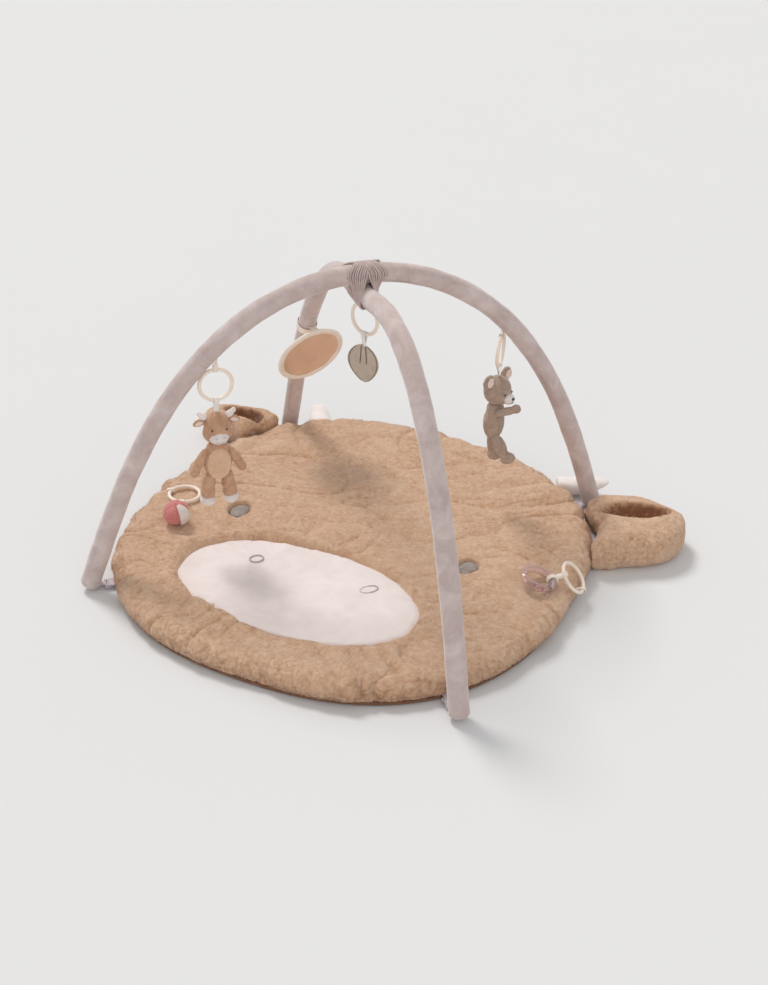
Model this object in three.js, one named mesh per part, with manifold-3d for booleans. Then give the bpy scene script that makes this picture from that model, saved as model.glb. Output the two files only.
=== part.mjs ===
// Activity play gym: a stuffed calf-head play mat with two crossed padded arches and hanging toys.
// Millimetres, +Z up, +Y from the calf's chin to its horns. The origin is on the floor under the mat's centre.
import * as THREE from 'three';
import { mergeVertices } from 'three/addons/utils/BufferGeometryUtils.js';
import Module from 'manifold-3d';

const wasm = await Module();
wasm.setup();

// ---------------------------------------------------------------- driving dimensions
const GAP = 0.35; // clearance kept between neighbouring pieces

// Mat
const MAT_HALF_WIDTH = 394;
const MAT_HALF_LENGTH = 416;
const MAT_SQUARENESS = 2.4; // exponent of the mat's superellipse outline
const MAT_TOP = 46;
const MAT_SIDES = 48;
const TRAY_INSET = 12; // how far the base cloth stays inside the fur cover's outline
const TRAY_RIM_TOP = 8;
const PATCH_THICKNESS = 2;
const MUZZLE_CENTRE = [-12, -203];
const MUZZLE_HALF_SIZE = [217, 128];
const EYES = { left: [-220, -35], right: [215, -9] };
const EYE_HALF_SIZE = [16, 22];

// Ears and horns
const EAR_HEIGHT = 60;
const EAR_FLOOR = 0.4;
const EAR_ROUNDING = 22;
const EARS = {
  left: {
    outline: [
      [-364, 228], [-400, 231], [-440, 222], [-468, 240], [-466, 275], [-430, 300], [-385, 308], [-350, 307],
      [-326, 298], [-350, 262],
    ],
    pocketCentre: [-388, 268, 64],
    pocketHalfSize: [44, 19, 42],
    pocketAzimuth: THREE.MathUtils.degToRad(6),
  },
  right: {
    outline: [
      [392, 140], [441, 172], [481, 197], [508, 230], [520, 275], [503, 325], [460, 350], [405, 356], [355, 336],
      [322, 303], [354, 246], [376, 195],
    ],
    pocketCentre: [420, 286, 66],
    pocketHalfSize: [64, 25, 44],
    pocketAzimuth: THREE.MathUtils.degToRad(25),
  },
};
const HORN_WIDTH = 46;
const HORN_THICKNESS = 36;
const HORNS = {
  left: { base: [-262, 360], azimuth: THREE.MathUtils.degToRad(122), halfLength: 48 },
  right: { base: [239, 374], azimuth: THREE.MathUtils.degToRad(24), halfLength: 66 },
};
const HORN_ROOT_CUT = 0.55; // how far along its half length a horn is cut off at the mat

// Arches
const SLEEVE_RADIUS = 17;
const SLEEVE_BORE = 15.2;
const FOAM_RADIUS = 14.2;
const FOAM_BORE = 6.8;
const ROD_RADIUS = 5.2;
const ROD_END_INSET = 0.012; // share of the arch's length left free at each end of the rod
const FOOT_HEIGHT = 6.2; // centre of a sleeve's end above the floor
const FOOT_SLOPE = 1.2775; // radians, first term of the bent rod's slope angle
const SHOULDER_SLOPE = -0.045; // third-harmonic term, which rounds the shoulders
const ARCH_STEPS = 24;
const ARCH_A = { centre: [-18, 24], azimuth: THREE.MathUtils.degToRad(45.5), halfSpan: 475 };
const ARCH_B = { centre: [8, 4], azimuth: THREE.MathUtils.degToRad(134.5), halfSpan: 478 };
const CROSSING_REACH = 125; // how far from the crossing arch B starts to dip under arch A
const CROSSING_GAP = 2.4;

// Fastenings at the feet
const BUCKLE_WIDTH = 20;
const BUCKLE_THICKNESS = 7;
const BUCKLE_CENTRE_HEIGHT = 5.4;
const PLUG_START = 25.5; // distance of the plug's bar end from the foot's centre
const PLUG_BODY = 7;
const PRONG_LENGTH = 10;
const SOCKET_LENGTH = 15;
const BAR_WIDTH = 1.6;
const WEBBING_PAST_BAR = 4; // how far a folded webbing reaches into a buckle half
const WEBBING_WIDTH = 12;
const WEBBING_THICKNESS = 1.2;

// Rings and straps
const RING_RADIUS = 27.5;
const RING_BAR = 3.2;
const STRAP_CLEARANCE = 0.9;
const STRAP_THICKNESS = 1.2;
const STRAP_WIDTH = 8;
const HANG_DROP = 29.5; // distance from an arch's centreline to a ring's top bar
const MIRROR_TURN = THREE.MathUtils.degToRad(14); // how far the mirror has turned on its strap

// ---------------------------------------------------------------- colours
const CAMEL = 0xc89b78;
const BASE_BROWN = 0x8a5f43;
const VELVET = 0xb8a59e;
const CREAM = 0xefe2d2;
const LILAC = 0xcfc4cc;
const CALF_BROWN = 0xa9825f;
const BEAR_BROWN = 0x8d7a6c;

function material(color, roughness = 0.9, metalness = 0) {
  return new THREE.MeshStandardMaterial({ color, roughness, metalness });
}

// ---------------------------------------------------------------- helpers
const gym = new THREE.Group();

function closed(geometry) {
  const bare = geometry.index ? geometry.toNonIndexed() : geometry.clone();
  bare.deleteAttribute('normal');
  bare.deleteAttribute('uv');
  return mergeVertices(bare, 1e-3);
}

function solid(geometry) {
  const bare = closed(geometry);
  const mesh = new wasm.Mesh({
    numProp: 3,
    vertProperties: new Float32Array(bare.attributes.position.array),
    triVerts: new Uint32Array(bare.index.array),
  });
  return new wasm.Manifold(mesh);
}

function surface(manifold) {
  const mesh = manifold.getMesh();
  const geometry = new THREE.BufferGeometry();
  geometry.setAttribute('position', new THREE.BufferAttribute(new Float32Array(mesh.vertProperties), 3));
  geometry.setIndex(new THREE.BufferAttribute(new Uint32Array(mesh.triVerts), 1));
  geometry.computeVertexNormals();
  return geometry;
}

function union(geometries) {
  return surface(geometries.map(solid).reduce((total, next) => total.add(next)));
}

function piece(name, geometry, look, parent = gym) {
  const mesh = new THREE.Mesh(geometry, look);
  mesh.name = name;
  parent.add(mesh);
  return mesh;
}

function box(size, centre) {
  return new THREE.BoxGeometry(...size).translate(...centre);
}

function ellipsoid(halfSize, centre, tilt = [0, 0, 0], sides = 11) {
  const geometry = new THREE.SphereGeometry(1, sides, Math.round(sides * 0.65));
  geometry.scale(...halfSize);
  geometry.applyMatrix4(new THREE.Matrix4().makeRotationFromEuler(new THREE.Euler(...tilt)));
  return geometry.translate(...centre);
}

/** Lathe about +Z from [radius, height] points. */
function latheZ(points, sides) {
  const profile = points.map(([radius, height]) => new THREE.Vector2(radius, height));
  return new THREE.LatheGeometry(profile, sides).rotateX(Math.PI / 2);
}

/** A closed webbing loop: a racetrack in the local YZ plane, as wide along X as the webbing. */
function webbingLoop(length, height, thickness, width) {
  const racetrack = (path, grow) => {
    const radius = height / 2 + grow;
    const straight = length / 2 - height / 2;
    path.absarc(straight, 0, radius, -Math.PI / 2, Math.PI / 2, false);
    path.absarc(-straight, 0, radius, Math.PI / 2, (3 * Math.PI) / 2, false);
    path.closePath();
    return path;
  };
  const band = racetrack(new THREE.Shape(), thickness);
  band.holes.push(racetrack(new THREE.Path(), 0));
  const geometry = new THREE.ExtrudeGeometry(band, { depth: width, bevelEnabled: false, curveSegments: 4 });
  geometry.translate(0, 0, -width / 2);
  return geometry.rotateX(Math.PI / 2).rotateZ(Math.PI / 2);
}

/** A loop that hangs down: its lower end is centred on the local origin and it runs up by `length`. */
function hangingLoop(length, barRadius = RING_BAR, width = STRAP_WIDTH) {
  const height = 2 * (barRadius + STRAP_CLEARANCE);
  const loop = webbingLoop(length + height, height, STRAP_THICKNESS, width);
  return loop.rotateX(Math.PI / 2).translate(0, 0, length / 2);
}

// ---------------------------------------------------------------- the mat
function matRadius(angle) {
  const across = Math.abs(Math.cos(angle) / MAT_HALF_WIDTH) ** MAT_SQUARENESS;
  const along = Math.abs(Math.sin(angle) / MAT_HALF_LENGTH) ** MAT_SQUARENESS;
  return (across + along) ** (-1 / MAT_SQUARENESS);
}

/** A lathe of [inset from the outline, height] points, stretched to the mat's outline. */
function matBody(points) {
  const geometry = latheZ(points.map(([inset, height]) => [MAT_HALF_WIDTH - inset, height]), MAT_SIDES);
  const position = geometry.attributes.position;
  for (let i = 0; i < position.count; i += 1) {
    const x = position.getX(i);
    const y = position.getY(i);
    const stretch = matRadius(Math.atan2(y, x)) / MAT_HALF_WIDTH;
    position.setXY(i, x * stretch, y * stretch);
  }
  return geometry;
}

/** A thin oval patch lying on the mat's flat top. */
function ovalPatch([halfX, halfY], [x, y]) {
  const oval = new THREE.Shape();
  oval.absellipse(0, 0, halfX, halfY, 0, 2 * Math.PI);
  const geometry = new THREE.ExtrudeGeometry(oval, {
    depth: PATCH_THICKNESS,
    bevelEnabled: false,
    curveSegments: 24,
  });
  return geometry.translate(x, y, MAT_TOP + GAP);
}

function buildMat() {
  const centre = MAT_HALF_WIDTH;
  const tray = TRAY_INSET;
  piece('mat_base_cloth', matBody([
    [centre, 0], [tray + 6, 0], [tray, 3], [tray, TRAY_RIM_TOP], [tray + 2, TRAY_RIM_TOP],
    [tray + 2, 4], [tray + 7, 1.6], [centre, 1.6],
  ]), material(BASE_BROWN));
  piece('mat_padding', matBody([
    [centre, 2.2], [tray + 10, 2.2], [14, 12], [14, 20], [24, 32], [62, 41.4], [centre, 41.4],
  ]), material(0xf4f1ea));
  piece('mat_cover', matBody([
    [centre, 42.5], [60, 42.5], [22, 35], [11, 25], [8, 18], [8, TRAY_RIM_TOP + 1], [4, TRAY_RIM_TOP + 1],
    [0, 18], [4, 27.5], [15, 36.5], [34, 43.5], [60, MAT_TOP], [centre, MAT_TOP],
  ]), material(CAMEL, 1));
  piece('muzzle_patch', ovalPatch(MUZZLE_HALF_SIZE, MUZZLE_CENTRE), material(0xe4dddc));
  for (const side of ['left', 'right']) {
    piece(`eye_patch_${side}`, ovalPatch(EYE_HALF_SIZE, EYES[side]), material(0x8f8782));
    piece(`ear_${side}`, ear(EARS[side]), material(CAMEL, 1));
    piece(`horn_${side}`, horn(HORNS[side]), material(0xeadfdb));
  }
}

/** One stuffed ear: a rounded pad lying on the floor, with a pocket pressed into its top. */
function ear({ outline, pocketCentre, pocketHalfSize, pocketAzimuth }) {
  const centroid = new THREE.Vector2();
  outline.forEach(([x, y]) => centroid.add(new THREE.Vector2(x, y).divideScalar(outline.length)));
  const inward = outline.map(([x, y]) => {
    const toCentre = new THREE.Vector2(centroid.x - x, centroid.y - y).setLength(EAR_ROUNDING);
    return new THREE.Vector2(x, y).add(toCentre);
  });
  const shape = new THREE.Shape(new THREE.SplineCurve([...inward, inward[0]]).getPoints(28).slice(0, -1));
  const pad = new THREE.ExtrudeGeometry(shape, {
    depth: EAR_HEIGHT - 2 * EAR_ROUNDING,
    bevelThickness: EAR_ROUNDING,
    bevelSize: EAR_ROUNDING - 4,
    bevelSegments: 3,
  });
  pad.translate(0, 0, EAR_FLOOR + EAR_ROUNDING);
  const pocket = ellipsoid(pocketHalfSize, pocketCentre, [0, 0, pocketAzimuth], 16);
  return surface(solid(pad).subtract(solid(pocket)));
}

/** One stuffed horn: a blunt cone lying behind the mat, cut off where it meets the mat's edge. */
function horn({ base, azimuth, halfLength }) {
  const halfSize = [halfLength, HORN_WIDTH / 2, HORN_THICKNESS / 2];
  const body = ellipsoid(halfSize, [halfLength * HORN_ROOT_CUT, 0, halfSize[2] + EAR_FLOOR], [0, 0, 0], 16);
  const root = box([2 * halfLength, 4 * halfLength, 4 * halfLength], [-halfLength, 0, 0]);
  const trimmed = surface(solid(body).subtract(solid(root)));
  return trimmed.rotateZ(azimuth).translate(base[0], base[1], 0);
}

// ---------------------------------------------------------------- the arches
function planCrossing(first, second) {
  const d1 = [Math.cos(first.azimuth), Math.sin(first.azimuth)];
  const d2 = [Math.cos(second.azimuth), Math.sin(second.azimuth)];
  const offset = [second.centre[0] - first.centre[0], second.centre[1] - first.centre[1]];
  const distance = (offset[0] * d2[1] - offset[1] * d2[0]) / (d1[0] * d2[1] - d1[1] * d2[0]);
  return [first.centre[0] + distance * d1[0], first.centre[1] + distance * d1[1]];
}

const CROSSING = planCrossing(ARCH_A, ARCH_B);

/** Centreline of an arch: a springy rod bent between two feet, dipping where it passes under the other. */
function archCurve({ centre, azimuth, halfSpan }, dip) {
  const samples = 72;
  const across = [0];
  const up = [0];
  for (let i = 1; i <= samples; i += 1) {
    const share = (i - 0.5) / samples;
    const slope = FOOT_SLOPE * Math.cos(Math.PI * share) + SHOULDER_SLOPE * Math.cos(3 * Math.PI * share);
    across.push(across[i - 1] + Math.cos(slope));
    up.push(up[i - 1] + Math.sin(slope));
  }
  const scale = (2 * halfSpan) / across[samples];
  const points = across.map((value, i) => {
    const along = value * scale - halfSpan;
    const x = centre[0] + along * Math.cos(azimuth);
    const y = centre[1] + along * Math.sin(azimuth);
    const fromCrossing = Math.hypot(x - CROSSING[0], y - CROSSING[1]) / CROSSING_REACH;
    return new THREE.Vector3(x, y, FOOT_HEIGHT + up[i] * scale - dip * Math.exp(-(fromCrossing ** 2)));
  });
  return new THREE.CatmullRomCurve3(points);
}

function heightAtCrossing(curve) {
  let best = curve.getPointAt(0);
  for (const point of curve.getSpacedPoints(400)) {
    const near = Math.hypot(point.x - CROSSING[0], point.y - CROSSING[1]);
    if (near < Math.hypot(best.x - CROSSING[0], best.y - CROSSING[1])) best = point;
  }
  return best.z;
}

const curveA = archCurve(ARCH_A, 0);
/** How far the plain arch B stands above its place under arch A, one sleeve below it with a small gap. */
const crossingDip = heightAtCrossing(archCurve(ARCH_B, 0))
  - (heightAtCrossing(curveA) - 2 * SLEEVE_RADIUS - CROSSING_GAP);
const curveB = archCurve(ARCH_B, crossingDip);

const LEAF_FACING = THREE.MathUtils.degToRad(-15);
const LEAF_DROP = 22.8; // from arch B's centreline down to the leaf's ring
const leafPoint = new THREE.Vector3(CROSSING[0] - 3, CROSSING[1] + 13, heightAtCrossing(curveB) - LEAF_DROP);

function polygon(path, radius, sides) {
  for (let i = 0; i < sides; i += 1) {
    const angle = (2 * Math.PI * (i + 0.5)) / sides;
    const point = [radius * Math.cos(angle), radius * Math.sin(angle)];
    if (i === 0) path.moveTo(...point);
    else path.lineTo(...point);
  }
  path.closePath();
  return path;
}

/** A tube along an arch; bore 0 makes it solid. */
function archTube(curve, radius, sides, bore = 0, boreSides = sides) {
  const section = polygon(new THREE.Shape(), radius, sides);
  if (bore > 0) section.holes.push(polygon(new THREE.Path(), bore, boreSides));
  return new THREE.ExtrudeGeometry(section, { steps: ARCH_STEPS, extrudePath: curve });
}

function shortened(curve, share) {
  const points = [];
  for (let i = 0; i <= 60; i += 1) points.push(curve.getPointAt(share + ((1 - 2 * share) * i) / 60));
  return new THREE.CatmullRomCurve3(points);
}

const SLEEVE_SIDES = 12;
const clearanceA = solid(archTube(curveA, (SLEEVE_RADIUS + GAP) / Math.cos(Math.PI / SLEEVE_SIDES), SLEEVE_SIDES));
const clearanceB = solid(archTube(curveB, (SLEEVE_RADIUS + GAP) / Math.cos(Math.PI / SLEEVE_SIDES), SLEEVE_SIDES));

function buildArch(name, curve) {
  piece(`${name}_sleeve`, archTube(curve, SLEEVE_RADIUS, SLEEVE_SIDES, SLEEVE_BORE), material(VELVET));
  piece(`${name}_foam`, archTube(curve, FOAM_RADIUS, 8, FOAM_BORE, 6), material(0xe8e8e6, 1));
  piece(`${name}_rod`, archTube(shortened(curve, ROD_END_INSET), ROD_RADIUS, 6), material(0xd8d8d2, 0.5));
}

/** The elastic cross-lashing: two bands over arch A and under arch B, halfway between their directions. */
function crownLashing() {
  const middle = (heightAtCrossing(curveA) + heightAtCrossing(curveB)) / 2;
  const bandWidth = 11;
  const halfWidth = SLEEVE_RADIUS * Math.SQRT2 + 2;
  const height = 4 * SLEEVE_RADIUS + 4;
  const bands = [0, Math.PI / 2].map((turn) => {
    const band = webbingLoop(height, 2 * halfWidth, 2.4, bandWidth);
    band.rotateX(Math.PI / 2).rotateZ(turn);
    return solid(band.translate(CROSSING[0], CROSSING[1], middle));
  });
  const leafLoopRoom = solid(box([13, 11, 2 * LEAF_DROP], [0, 0, 0]).rotateZ(LEAF_FACING).translate(...leafPoint));
  return surface(bands[0].add(bands[1]).subtract(clearanceA).subtract(clearanceB).subtract(leafLoopRoom));
}

// ---------------------------------------------------------------- fastenings at the feet
/** A side-release buckle's socket, its mouth towards -X, with a bar for the mat's webbing. */
function buckleSocket() {
  const width = BUCKLE_WIDTH;
  const body = solid(box([SOCKET_LENGTH, width, BUCKLE_THICKNESS], [SOCKET_LENGTH / 2, 0, 0]));
  const pocket = solid(box([10.6, width - 3.4, BUCKLE_THICKNESS - 2.6], [4.3, 0, 0]));
  const windows = solid(box([5, width + 4, BUCKLE_THICKNESS - 2.6], [6, 0, 0]));
  return surface(body.subtract(pocket).subtract(windows).subtract(webbingBar(SOCKET_LENGTH, -1)));
}

/** The space to cut away round a thin bar at a buckle half's end, for webbing to fold round it. */
function webbingBar(end, inward) {
  const width = WEBBING_WIDTH + 1.6;
  const slot = solid(box([2.8, width, BUCKLE_THICKNESS + 4], [end + inward * (BAR_WIDTH + 1.4), 0, 0]));
  const aroundBar = [-1, 1].map((side) => {
    const depth = BUCKLE_THICKNESS;
    return solid(box([BAR_WIDTH + 2, width, depth], [end + inward * (BAR_WIDTH / 2 - 0.9), 0, side * (1.6 + depth / 2)]));
  });
  return slot.add(aroundBar[0]).add(aroundBar[1]);
}

/** The buckle's plug, its two springy prongs towards +X, with a bar for the arch's webbing. */
function bucklePlug() {
  const width = BUCKLE_WIDTH;
  const body = solid(box([PLUG_BODY, width, BUCKLE_THICKNESS], [PLUG_BODY / 2, 0, 0]));
  const prongs = [-1, 1].map((side) => {
    const arm = box([PRONG_LENGTH - 1, 1.8, 3.4], [PLUG_BODY + PRONG_LENGTH / 2 - 1, side * 6.4, 0]);
    const barb = box([3.4, 2.6, 3.4], [PLUG_BODY + 6, side * 8, 0]);
    return solid(arm).add(solid(barb));
  });
  return surface(body.subtract(webbingBar(0, 1)).add(prongs[0]).add(prongs[1]));
}

/** One foot's fastening, in a group whose +X axis points from the foot to the mat. */
function buildFastening(name, curve, atStart, clearance) {
  const foot = curve.getPointAt(atStart ? 0 : 1);
  const inward = Math.atan2(-foot.y, -foot.x);
  const group = new THREE.Group();
  group.position.set(foot.x, foot.y, BUCKLE_CENTRE_HEIGHT);
  group.rotation.z = inward;
  gym.add(group);

  const plastic = material(LILAC, 0.45);
  piece(`buckle_plug_${name}`, bucklePlug(), plastic, group).position.x = PLUG_START;
  const socketStart = PLUG_START + PLUG_BODY + GAP;
  piece(`buckle_socket_${name}`, buckleSocket(), plastic.clone(), group).position.x = socketStart;

  // The mat's webbing folds round the socket's bar and ends at the base cloth.
  const loopHeight = BUCKLE_THICKNESS - 2.6;
  const matEdge = Math.hypot(foot.x, foot.y) - matRadius(inward + Math.PI) + TRAY_INSET - 0.8;
  const matLoopStart = socketStart + SOCKET_LENGTH - WEBBING_PAST_BAR;
  const matLoop = foldedWebbing(matEdge - matLoopStart);
  piece(`mat_webbing_${name}`, matLoop, material(LILAC), group).position.x = (matEdge + matLoopStart) / 2;

  // The arch's webbing folds round the plug's bar and ends in the sleeve's seam.
  const archLoopStart = SLEEVE_RADIUS - 4;
  const archLoopEnd = PLUG_START + WEBBING_PAST_BAR;
  const archLoop = foldedWebbing(archLoopEnd - archLoopStart);
  archLoop.translate((archLoopEnd + archLoopStart) / 2, 0, 0);
  archLoop.rotateZ(inward).translate(foot.x, foot.y, BUCKLE_CENTRE_HEIGHT);
  piece(`arch_webbing_${name}`, surface(solid(archLoop).subtract(clearance)), material(LILAC));

  function foldedWebbing(length) {
    return webbingLoop(length - 2 * WEBBING_THICKNESS, loopHeight, WEBBING_THICKNESS, WEBBING_WIDTH)
      .rotateZ(Math.PI / 2);
  }
}

// ---------------------------------------------------------------- rings, loops and toys
function ring() {
  return new THREE.TorusGeometry(RING_RADIUS, RING_BAR, 6, 20).rotateX(Math.PI / 2);
}

/** Where a ring hangs: under the arch's centreline at the given height on the given side of the crown. */
function hangPoint(curve, height, pastCrown, drop = HANG_DROP) {
  let low = pastCrown ? 1 : 0;
  let high = 0.5;
  for (let i = 0; i < 40; i += 1) {
    const middle = (low + high) / 2;
    if (curve.getPointAt(middle).z < height) low = middle;
    else high = middle;
  }
  const point = curve.getPointAt(low);
  const tangent = curve.getTangentAt(low);
  const side = new THREE.Vector3(tangent.y, -tangent.x, 0).normalize();
  const inward = new THREE.Vector3().crossVectors(tangent, side).normalize();
  if (inward.z > 0) inward.negate();
  return { point: point.clone().addScaledVector(inward, drop), onTube: point, tangent, inward };
}

/** A toy's group, hung at a point and facing an azimuth (0 faces -Y, positive turns towards +X). */
function hangingGroup(point, facing) {
  const group = new THREE.Group();
  group.position.copy(point);
  group.rotation.z = facing;
  gym.add(group);
  return group;
}

/** The sewn fabric loop on the arch that a toy's ring passes through. */
function archLoop(name, point, facing, reach, clearance) {
  const loop = hangingLoop(reach, RING_BAR, 7);
  loop.rotateZ(facing).translate(point.x, point.y, point.z);
  piece(name, surface(solid(loop).subtract(clearance)), material(CREAM));
}

const STRAP_TOP = -2 * RING_RADIUS; // height of a ring's lower bar in a toy's group
const STRAP_LENGTH = 15;

function buildRingAndStrap(prefix, group) {
  piece(`${prefix}_ring`, ring(), material(CREAM, 0.5), group).position.z = -RING_RADIUS;
  const strap = hangingLoop(STRAP_LENGTH).rotateX(Math.PI);
  piece(`${prefix}_strap`, strap, material(0xf6f2ee), group).position.z = STRAP_TOP;
}

const TOY_TOP = STRAP_TOP - STRAP_LENGTH - RING_BAR - STRAP_CLEARANCE - STRAP_THICKNESS - GAP;

function buildCalf(group) {
  const top = TOY_TOP;
  const head = union([
    ellipsoid([23, 21, 30], [0, 0, top - 30]),
    ellipsoid([17, 13, 13], [0, -15, top - 42]),
    ...[-1, 1].flatMap((side) => [
      ellipsoid([12, 4, 6], [side * 29, 0, top - 15], [0, side * 0.15, 0], 10),
      ellipsoid([5.5, 5, 9], [side * 24, 1, top - 7], [0, side * 0.9, 0], 10),
    ]),
  ]);
  piece('calf_head', head, material(CALF_BROWN), group);
  const middle = top - 60 - GAP;
  const body = union([
    ellipsoid([25, 19, 34], [0, 0, middle - 34]),
    ...[-1, 1].flatMap((side) => [
      ellipsoid([8, 8, 27], [side * 32, -3, middle - 32], [0, side * -0.45, 0], 10),
      ellipsoid([12, 12, 30], [side * 16, -4, middle - 78], [0, side * -0.12, 0], 10),
      ellipsoid([14, 16, 11], [side * 20, -6, middle - 103], [0, 0, 0], 10),
    ]),
  ]);
  piece('calf_body', body, material(CALF_BROWN), group);
}

function buildBear(group) {
  const top = TOY_TOP;
  const head = union([
    ellipsoid([27, 25, 28], [0, 0, top - 28]),
    ellipsoid([12, 13, 11], [0, -21, top - 36]),
    ...[-1, 1].map((side) => ellipsoid([13, 6, 13], [side * 23, 0, top - 13], [0, 0, 0], 10)),
  ]);
  piece('bear_head', head, material(BEAR_BROWN), group);
  const middle = top - 56 - GAP;
  const body = union([
    ellipsoid([23, 20, 36], [0, 2, middle - 36]),
    ellipsoid([8, 27, 8], [-20, -22, middle - 16], [0.1, 0, 0], 10),
    ellipsoid([8, 9, 26], [24, -2, middle - 34], [0, -0.2, 0], 10),
    ellipsoid([12, 13, 31], [-14, -14, middle - 80], [-0.5, 0, 0], 10),
    ellipsoid([12, 13, 34], [14, 2, middle - 88], [-0.08, 0, 0], 10),
  ]);
  piece('bear_body', body, material(BEAR_BROWN), group);
}

function buildLeaf(group) {
  const height = 68;
  const halfWidth = 25;
  const blade = new THREE.Shape();
  blade.moveTo(0, 0);
  blade.bezierCurveTo(halfWidth * 1.1, -4, halfWidth * 1.35, -0.62 * height, 4, -height);
  blade.bezierCurveTo(-3, -height + 12, -halfWidth * 1.1, -0.8 * height, -halfWidth, -0.5 * height);
  blade.bezierCurveTo(-halfWidth, -0.2 * height, -halfWidth * 0.6, -2, 0, 0);
  const leaf = new THREE.ExtrudeGeometry(blade, {
    depth: 3,
    bevelThickness: 2,
    bevelSize: 1.6,
    bevelSegments: 2,
    curveSegments: 8,
  });
  leaf.translate(0, 0, -1.5).rotateX(Math.PI / 2);
  piece('leaf_teether', leaf, material(0x8f8a7c, 0.6), group).position.z = TOY_TOP - 1.9;
}

/** The mirror hangs from a strap round arch B's back leg, its face turned in and down to the mat. */
function buildMirror() {
  const strapHeight = 288;
  const diameter = 131;
  const faceTilt = THREE.MathUtils.degToRad(25);
  const faceForward = -6.5;
  const discDrop = 38;
  const hung = hangPoint(curveB, strapHeight, true, 0);
  const strapInner = SLEEVE_RADIUS / Math.cos(Math.PI / SLEEVE_SIDES) + GAP;
  const width = 14;
  const band = latheZ([
    [strapInner, -width / 2], [strapInner + 1.3, -width / 2], [strapInner + 1.3, width / 2],
    [strapInner, width / 2], [strapInner, -width / 2],
  ], 18);
  const upright = new THREE.Quaternion().setFromUnitVectors(new THREE.Vector3(0, 0, 1), hung.tangent);
  const strap = piece('mirror_strap', band, material(CREAM));
  strap.position.copy(hung.onTube);
  strap.quaternion.copy(upright);

  const group = new THREE.Group();
  const facing = ARCH_B.azimuth - Math.PI / 2 + MIRROR_TURN;
  const pivot = hung.onTube.clone().addScaledVector(hung.inward, strapInner + 2.6);
  group.position.copy(pivot);
  group.rotation.set(0, 0, facing, 'ZYX');
  gym.add(group);
  const disc = new THREE.Group();
  disc.position.set(0, 2, -discDrop);
  disc.rotation.x = faceTilt;
  group.add(disc);
  const radius = diameter / 2;
  const cushion = latheZ([
    [0, -3], [radius - 6, -3], [radius - 1.5, -1.8], [radius, 1.2], [radius - 1.5, 4.2], [radius - 5, 5.2],
    [radius - 9, 4.4], [radius - 10, 1.6], [0, 1.6],
  ], 36).rotateX(Math.PI / 2);
  piece('mirror_cushion', cushion, material(CREAM), disc).position.y = faceForward;
  const foil = latheZ([[0, 2], [radius - 10.6, 2], [radius - 10.6, 2.8], [0, 2.8]], 36).rotateX(Math.PI / 2);
  piece('mirror_foil', foil, material(0xd9c3ae, 0.1, 0.9), disc).position.y = faceForward;
}

/** The plush ball on its ring, lying on the mat's left side. */
function buildBall() {
  const barHeight = MAT_TOP + 1 + STRAP_THICKNESS + STRAP_CLEARANCE + RING_BAR;
  const ringCentre = new THREE.Vector3(-329, -46, barHeight);
  const flat = ring().rotateX(Math.PI / 2);
  piece('ball_ring', flat, material(CREAM, 0.5)).position.copy(ringCentre);
  const toBall = new THREE.Vector2(36, -84).normalize();
  const direction = Math.atan2(toBall.y, toBall.x);
  const bar = new THREE.Vector2(ringCentre.x, ringCentre.y).addScaledVector(toBall, RING_RADIUS);
  const strap = new THREE.Group();
  strap.position.set(bar.x, bar.y, barHeight);
  strap.rotation.z = direction;
  gym.add(strap);
  const strapLength = 34;
  const band = hangingLoop(strapLength).rotateX(Math.PI / 2).rotateZ(Math.PI / 2);
  piece('ball_strap', band, material(0xf6f2ee), strap);
  const ballRadius = 24;
  const reach = strapLength + RING_BAR + STRAP_CLEARANCE + STRAP_THICKNESS + GAP;
  const ball = ellipsoid([ballRadius, ballRadius, ballRadius - 3], [0, 0, 0], [0, 0, 0], 16);
  const placed = piece('plush_ball', ball, material(0xb9747a), strap);
  placed.position.set(reach + ballRadius - 2, 0, ballRadius - 3 + MAT_TOP + 1 - barHeight);
  const loop = hangingLoop(5).rotateX(-Math.PI / 2).rotateZ(Math.PI / 2);
  loop.translate(ringCentre.x - RING_RADIUS, ringCentre.y, barHeight);
  piece('mat_loop_left', loop, material(CAMEL));
}

/** A group whose local XY plane leans over by `lean` towards the azimuth `towards`. */
function leaningGroup(position, towards, lean) {
  const group = new THREE.Group();
  group.position.set(...position);
  group.rotation.set(0, lean, towards, 'ZYX');
  gym.add(group);
  group.updateMatrixWorld();
  return group;
}

/** Points on the centre circle of a ring that lies in a group's local XY plane. */
function ringPoints(group, radius) {
  return new THREE.EllipseCurve(0, 0, radius, radius).getPoints(72)
    .map(({ x, y }) => new THREE.Vector3(x, y, 0).applyMatrix4(group.matrixWorld));
}

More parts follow.
